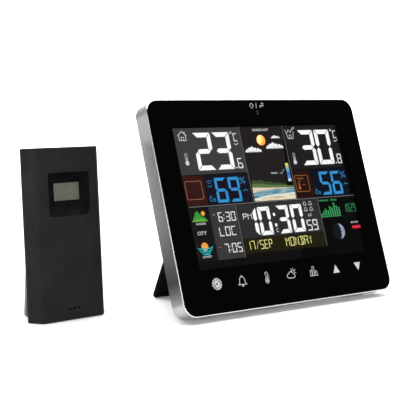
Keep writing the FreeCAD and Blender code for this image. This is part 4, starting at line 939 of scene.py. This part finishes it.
def key_icons():
    """The seven touch keys along the bottom and the small marks at the top."""
    drawing = Drawing()
    y = KEY_ROW
    clock_key(drawing, 30.7, y)
    bell_key(drawing, 53.4, y)
    thermometer_key(drawing, 76.3, y)
    weather_key(drawing, 99.4, y)
    chart_key(drawing, 122.1, y)
    drawing.poly(((145.1, y - 3.2), (148.4, y + 3.0), (141.8, y + 3.0)))
    drawing.poly(((168.0, y + 3.2), (164.7, y - 3.0), (171.3, y - 3.0)))
    top = TOP_ROW
    drawing.ring(95.6, top, 1.6, 0.34, 120, 420)
    drawing.rect(95.1, top + 1.7, 96.1, top + 2.2)
    drawing.stroke(((100.4, top - 1.9), (99.9, top + 2.0)), 0.34)
    drawing.words("z", 103.2, top - 0.2, 1.6)
    drawing.words("Z", 105.2, top - 2.0, 2.5)
    look = moulded("key_print", linear(190, 190, 190), CONSOLE, 0.5, 0.004)
    # painted glow: the printed key marks give off a little light of their own
    look.set("Emission Color", linear(190, 190, 190))
    look.set("Emission Strength", 0.2)
    drawing.build("key_prints", look, CONSOLE, GLASS_CORNER, *KEY_PRINT, "console")
    faint = Drawing()
    faint.ring(100.0, 9.6, 0.9, 0.35, 200, 470)
    faint.stroke(((99.0, 11.2), (101.2, 11.2)), 0.3)
    dim = moulded("faint_print", linear(70, 70, 72), CONSOLE, 0.5, 0.004)
    faint.build("faint_print", dim, CONSOLE, GLASS_CORNER, *FAINT_PRINT, "console")


def clock_key(drawing, x, y):
    """A dial drawn as a broken outer ring and a filled face with the hands left out of it."""
    for hour in range(12):
        drawing.ring(x, y, 3.75, 0.9, 30 * hour + 4, 30 * hour + 26)
    drawing.ring(x, y, 2.9, 0.35)
    for start, end in ((-52, 142), (158, 300)):
        drawing.ring(x, y, 1.6, 1.7, start, end)


def bell_key(drawing, x, y):
    drawing.ring(x, y - 0.6, 2.3, 0.5, 190, 350)
    for side in (-1, 1):
        drawing.stroke(((x + side * 2.3, y - 0.9), (x + side * 2.5, y + 1.4),
                        (x + side * 3.6, y + 2.5)), 0.5)
    drawing.stroke(((x - 3.6, y + 2.6), (x + 3.6, y + 2.6)), 0.5)
    drawing.ring(x, y + 2.9, 0.9, 0.5, 10, 170)
    drawing.ring(x, y - 3.3, 0.5, 0.45, 120, 420, 10)


def thermometer_key(drawing, x, y):
    drawing.ring(x, y + 2.2, 1.75, 0.4)
    drawing.disc(x, y + 2.2, 1.1)
    drawing.ring(x, y - 3.0, 1.15, 0.4, 130, 410)
    for side in (-1, 1):
        drawing.stroke(((x + side * 0.8, y - 2.2), (x + side * 0.8, y + 0.7)), 0.36)
    drawing.stroke(((x, y - 0.8), (x, y + 1.4)), 0.36)
    for step in range(3):
        drawing.stroke(((x + 1.6, y - 2.0 + step * 1.1), (x + 2.3, y - 2.0 + step * 1.1)), 0.26)


def weather_key(drawing, x, y):
    drawing.ring(x - 2.0, y + 0.9, 1.6, 0.5, 90, 290)
    drawing.ring(x + 0.2, y - 0.2, 2.0, 0.5, 190, 340)
    drawing.ring(x + 2.4, y + 1.2, 1.4, 0.5, 270, 450)
    drawing.stroke(((x - 2.0, y + 2.5), (x + 2.4, y + 2.5)), 0.5)
    drawing.ring(x + 2.4, y - 1.7, 1.5, 0.45, 170, 430)
    for angle in range(-120, 61, 45):
        a = math.radians(angle)
        drawing.stroke(((x + 2.4 + 2.2 * math.cos(a), y - 1.7 + 2.2 * math.sin(a)),
                        (x + 2.4 + 3.0 * math.cos(a), y - 1.7 + 3.0 * math.sin(a))), 0.35)


def chart_key(drawing, x, y):
    for left, tall in ((-3.4, 4.0), (-1.0, 6.6), (1.4, 3.2)):
        drawing.stroke(((x + left, y + 2.8), (x + left, y + 2.8 - tall),
                        (x + left + 1.7, y + 2.8 - tall), (x + left + 1.7, y + 2.8)), 0.42)
    drawing.stroke(((x - 3.8, y + 3.0), (x + 4.0, y + 3.0)), 0.42)


# ---------------------------------------------------------------- put it all on

LCD_CENTRE = (-2.0, 88.9)
LCD_HALF = (10.7, 6.05)
COPPER = (0.72, 0.42, 0.24, 1)
NICKEL = (0.74, 0.73, 0.7, 1)
TINPLATE = (0.66, 0.66, 0.64, 1)
BLACK_STEEL = (0.16, 0.16, 0.165, 1)


def housings():
    dress(brushed_frame(), "middle_frame")
    dress(front_glass(), "front_glass")
    black = moulded("black_plastic", linear(24, 24, 25), CONSOLE, 0.52)
    dress(black, "back_cover", "dc_power_socket")
    door = moulded("door_plastic", linear(22, 22, 23), CONSOLE, 0.5)
    dress(door, "console_battery_door")
    stand = moulded("stand_plastic", linear(4, 4, 4), CONSOLE, 0.5)
    stand.set("Specular IOR Level", LOW_GLOSS)
    dress(stand, "console_stand")
    shell = moulded("sensor_plastic", linear(33, 33, 33), SENSOR, 0.55, 0.012, 3.0)
    shell.set("Specular IOR Level", SHELL_GLOSS)
    dress(shell, "sensor_front_shell", "sensor_back_cover", "sensor_battery_door")
    grey = moulded("grey_plastic", linear(118, 118, 119), SENSOR, 0.45, spread=0.3)
    dress(grey, "sensor_stand")
    dress(sensor_window_look(LCD_CENTRE, LCD_HALF), "sensor_window")
    dress(small_display_look(), "sensor_display")
    dress(moulded("black_rubber", linear(20, 20, 20), CONSOLE, 0.8, 0.03, 2.0), "rubber_feet")


def inner_parts():
    dress(lit("display_panel_look", linear(14, 14, 16), 0.6), "display_panel")
    dress(light_guide_look(), "backlight_panel")
    dress(moulded("white_plastic", linear(226, 226, 222), CONSOLE, 0.55), "display_holder")
    dress(moulded("probe_plastic", linear(10, 10, 10), SENSOR, 0.6), "sensor_probe")
    dress(circuit_board_look(CONSOLE), "touch_key_board", "main_circuit_board")
    dress(circuit_board_look(SENSOR), "sensor_circuit_board")
    dress(metal("key_copper", COPPER, CONSOLE, 0.3), "touch_key_pads")
    dress(metal("antenna_copper", COPPER, SENSOR, 0.3), "sensor_antenna")
    chip = moulded("chip_epoxy", linear(26, 26, 27), CONSOLE, 0.6, 0.02, 4.0)
    dress(chip, "controller_chip", "indoor_sensor_element", "buzzer")
    dress(moulded("sensor_chip_epoxy", linear(26, 26, 27), SENSOR, 0.6, 0.02, 4.0), "sensor_chip")
    dress(metal("tin_can", TINPLATE, CONSOLE, 0.35), "radio_receiver")
    dress(metal("black_screws", BLACK_STEEL, CONSOLE, 0.4, 3.0), "cover_screws",
          "stand_hinge_pins")
    dress(metal("sensor_black_screws", BLACK_STEEL, SENSOR, 0.4, 3.0), "sensor_screws",
          "sensor_stand_pins")
    dress(cell_jacket_look(CONSOLE, "x"), "console_batteries")
    dress(cell_jacket_look(SENSOR, "z"), "sensor_batteries")
    nickel = metal("nickel", NICKEL, CONSOLE, 0.25)
    dress(nickel, "console_contact_springs", "console_contact_plates")
    sensor_nickel = metal("sensor_nickel", NICKEL, SENSOR, 0.25)
    dress(sensor_nickel, "sensor_contact_springs", "sensor_contact_plates")


def display():
    display_fields()
    white_readings()
    small_white_readings()
    blue_readings()
    outline_icons()
    small_words()
    forecast_picture()
    sun_time_pictures()
    frames_and_bars()
    moon()
    key_icons()


# ---------------------------------------------------------------- studio

# the floor shines fully on the camera's side up to the first depth, and faintly from the second
GLOW_ENDS = (-1.8, -0.9)
FLOOR_GAP = 0.0002
WORLD_GREY = 0.07


def studio():
    look = Look("pale_floor", linear(252, 252, 252), 0.75)
    coordinates = look.node("ShaderNodeTexCoord")
    grain = look.noise(coordinates.outputs["Object"], 40.0, 3.0, 0.6)
    look.to("Roughness", look.ranged(grain, 0.7, 0.85))
    look.set("Emission Color", linear(255, 255, 255))
    _, depth, _ = look.split(coordinates.outputs["Object"])
    look.to("Emission Strength", look.ranged(depth, 1.0, 0.12, *GLOW_ENDS))
    bm = bmesh.new()
    wide, front, back, high, bend, steps = 40.0, -40.0, 2.2, 4.5, 0.8, 10
    profile = [(front, 0.0), (back - bend, 0.0)]
    for step in range(1, steps):
        a = math.pi / 2 * step / steps
        profile.append((back - bend + bend * math.sin(a), bend - bend * math.cos(a)))
    profile += [(back, bend), (back, high)]
    rows = [[bm.verts.new((side * wide, y, z)) for y, z in profile] for side in (-1, 1)]
    for i in range(len(profile) - 1):
        bm.faces.new((rows[0][i], rows[1][i], rows[1][i + 1], rows[0][i + 1]))
    mesh = bpy.data.meshes.new("studio_floor")
    bm.to_mesh(mesh)
    bm.free()
    floor = bpy.data.objects.new("studio_floor", mesh)
    bpy.context.scene.collection.objects.link(floor)
    for face in mesh.polygons:
        face.use_smooth = True
    turn = Matrix.Rotation(math.radians(-VIEW_HEADING), 4, "Z")
    floor.matrix_world = Matrix.Translation((0, 0, -FLOOR_GAP)) @ turn
    dress(look, floor)


def area_light(name, place, target, size, power, tall=None):
    """A lamp in metres and watts; with tall it is a rectangle instead of a square."""
    data = bpy.data.lights.new(name, "AREA")
    data.energy = power
    data.size = size
    if tall is not None:
        data.shape = "RECTANGLE"
        data.size_y = tall
    item = bpy.data.objects.new(name, data)
    item.location = place
    aim = Vector(target) - Vector(place)
    item.rotation_euler = aim.to_track_quat("-Z", "Y").to_euler()
    bpy.context.scene.collection.objects.link(item)


def lights():
    world = bpy.data.worlds.new("studio_world")
    world.use_nodes = True
    background = world.node_tree.nodes["Background"]
    background.inputs["Color"].default_value = (WORLD_GREY, WORLD_GREY, WORLD_GREY, 1)
    background.inputs["Strength"].default_value = 1.0
    bpy.context.scene.world = world
    area_light("overhead", (0.0, 0.3, 1.9), (0.0, 0.2, 0.0), 2.6, 75, 2.2)
    area_light("left_side", (-1.5, 0.1, 0.7), (0.0, 0.0, 0.08), 1.2, 2.5, 1.2)
    area_light("rim_strip", (-1.06, -0.88, 0.63), (0.0, 0.0, 0.08), 0.4, 2.5, 1.0)
    area_light("backdrop_wash", (0.9, 1.0, 1.4), (1.6, 2.0, 0.7), 1.6, 45)


# the photo's camera: degrees, metres from the console's foot, millimetres of lens and film
VIEW_HEADING = 37.27
VIEW_PITCH = 6.48
VIEW_ROLL = 0.876
VIEW_FROM_FOOT = (-0.5466, -0.6131, 0.1712)
VIEW_LENS = 101.2
FILM_WIDTH = 36.0


def camera():
    data = bpy.data.cameras.new("camera")
    data.lens = VIEW_LENS
    data.sensor_width = FILM_WIDTH
    data.sensor_fit = "HORIZONTAL"
    data.clip_start = 0.01
    item = bpy.data.objects.new("camera", data)
    turn = Matrix.Rotation(math.radians(-VIEW_HEADING), 4, "Z")
    tilt = Matrix.Rotation(math.radians(90 - VIEW_PITCH), 4, "X")
    roll = Matrix.Rotation(math.radians(VIEW_ROLL), 4, "Z")
    place = CONSOLE @ Vector((0, FRAME_DEPTH, 0)) + Vector(VIEW_FROM_FOOT)
    item.matrix_world = Matrix.Translation(place) @ turn @ tilt @ roll
    bpy.context.scene.collection.objects.link(item)
    bpy.context.scene.camera = item


bpy.context.scene.view_settings.view_transform = "Standard"
housings()
inner_parts()
display()
studio()
lights()
camera()
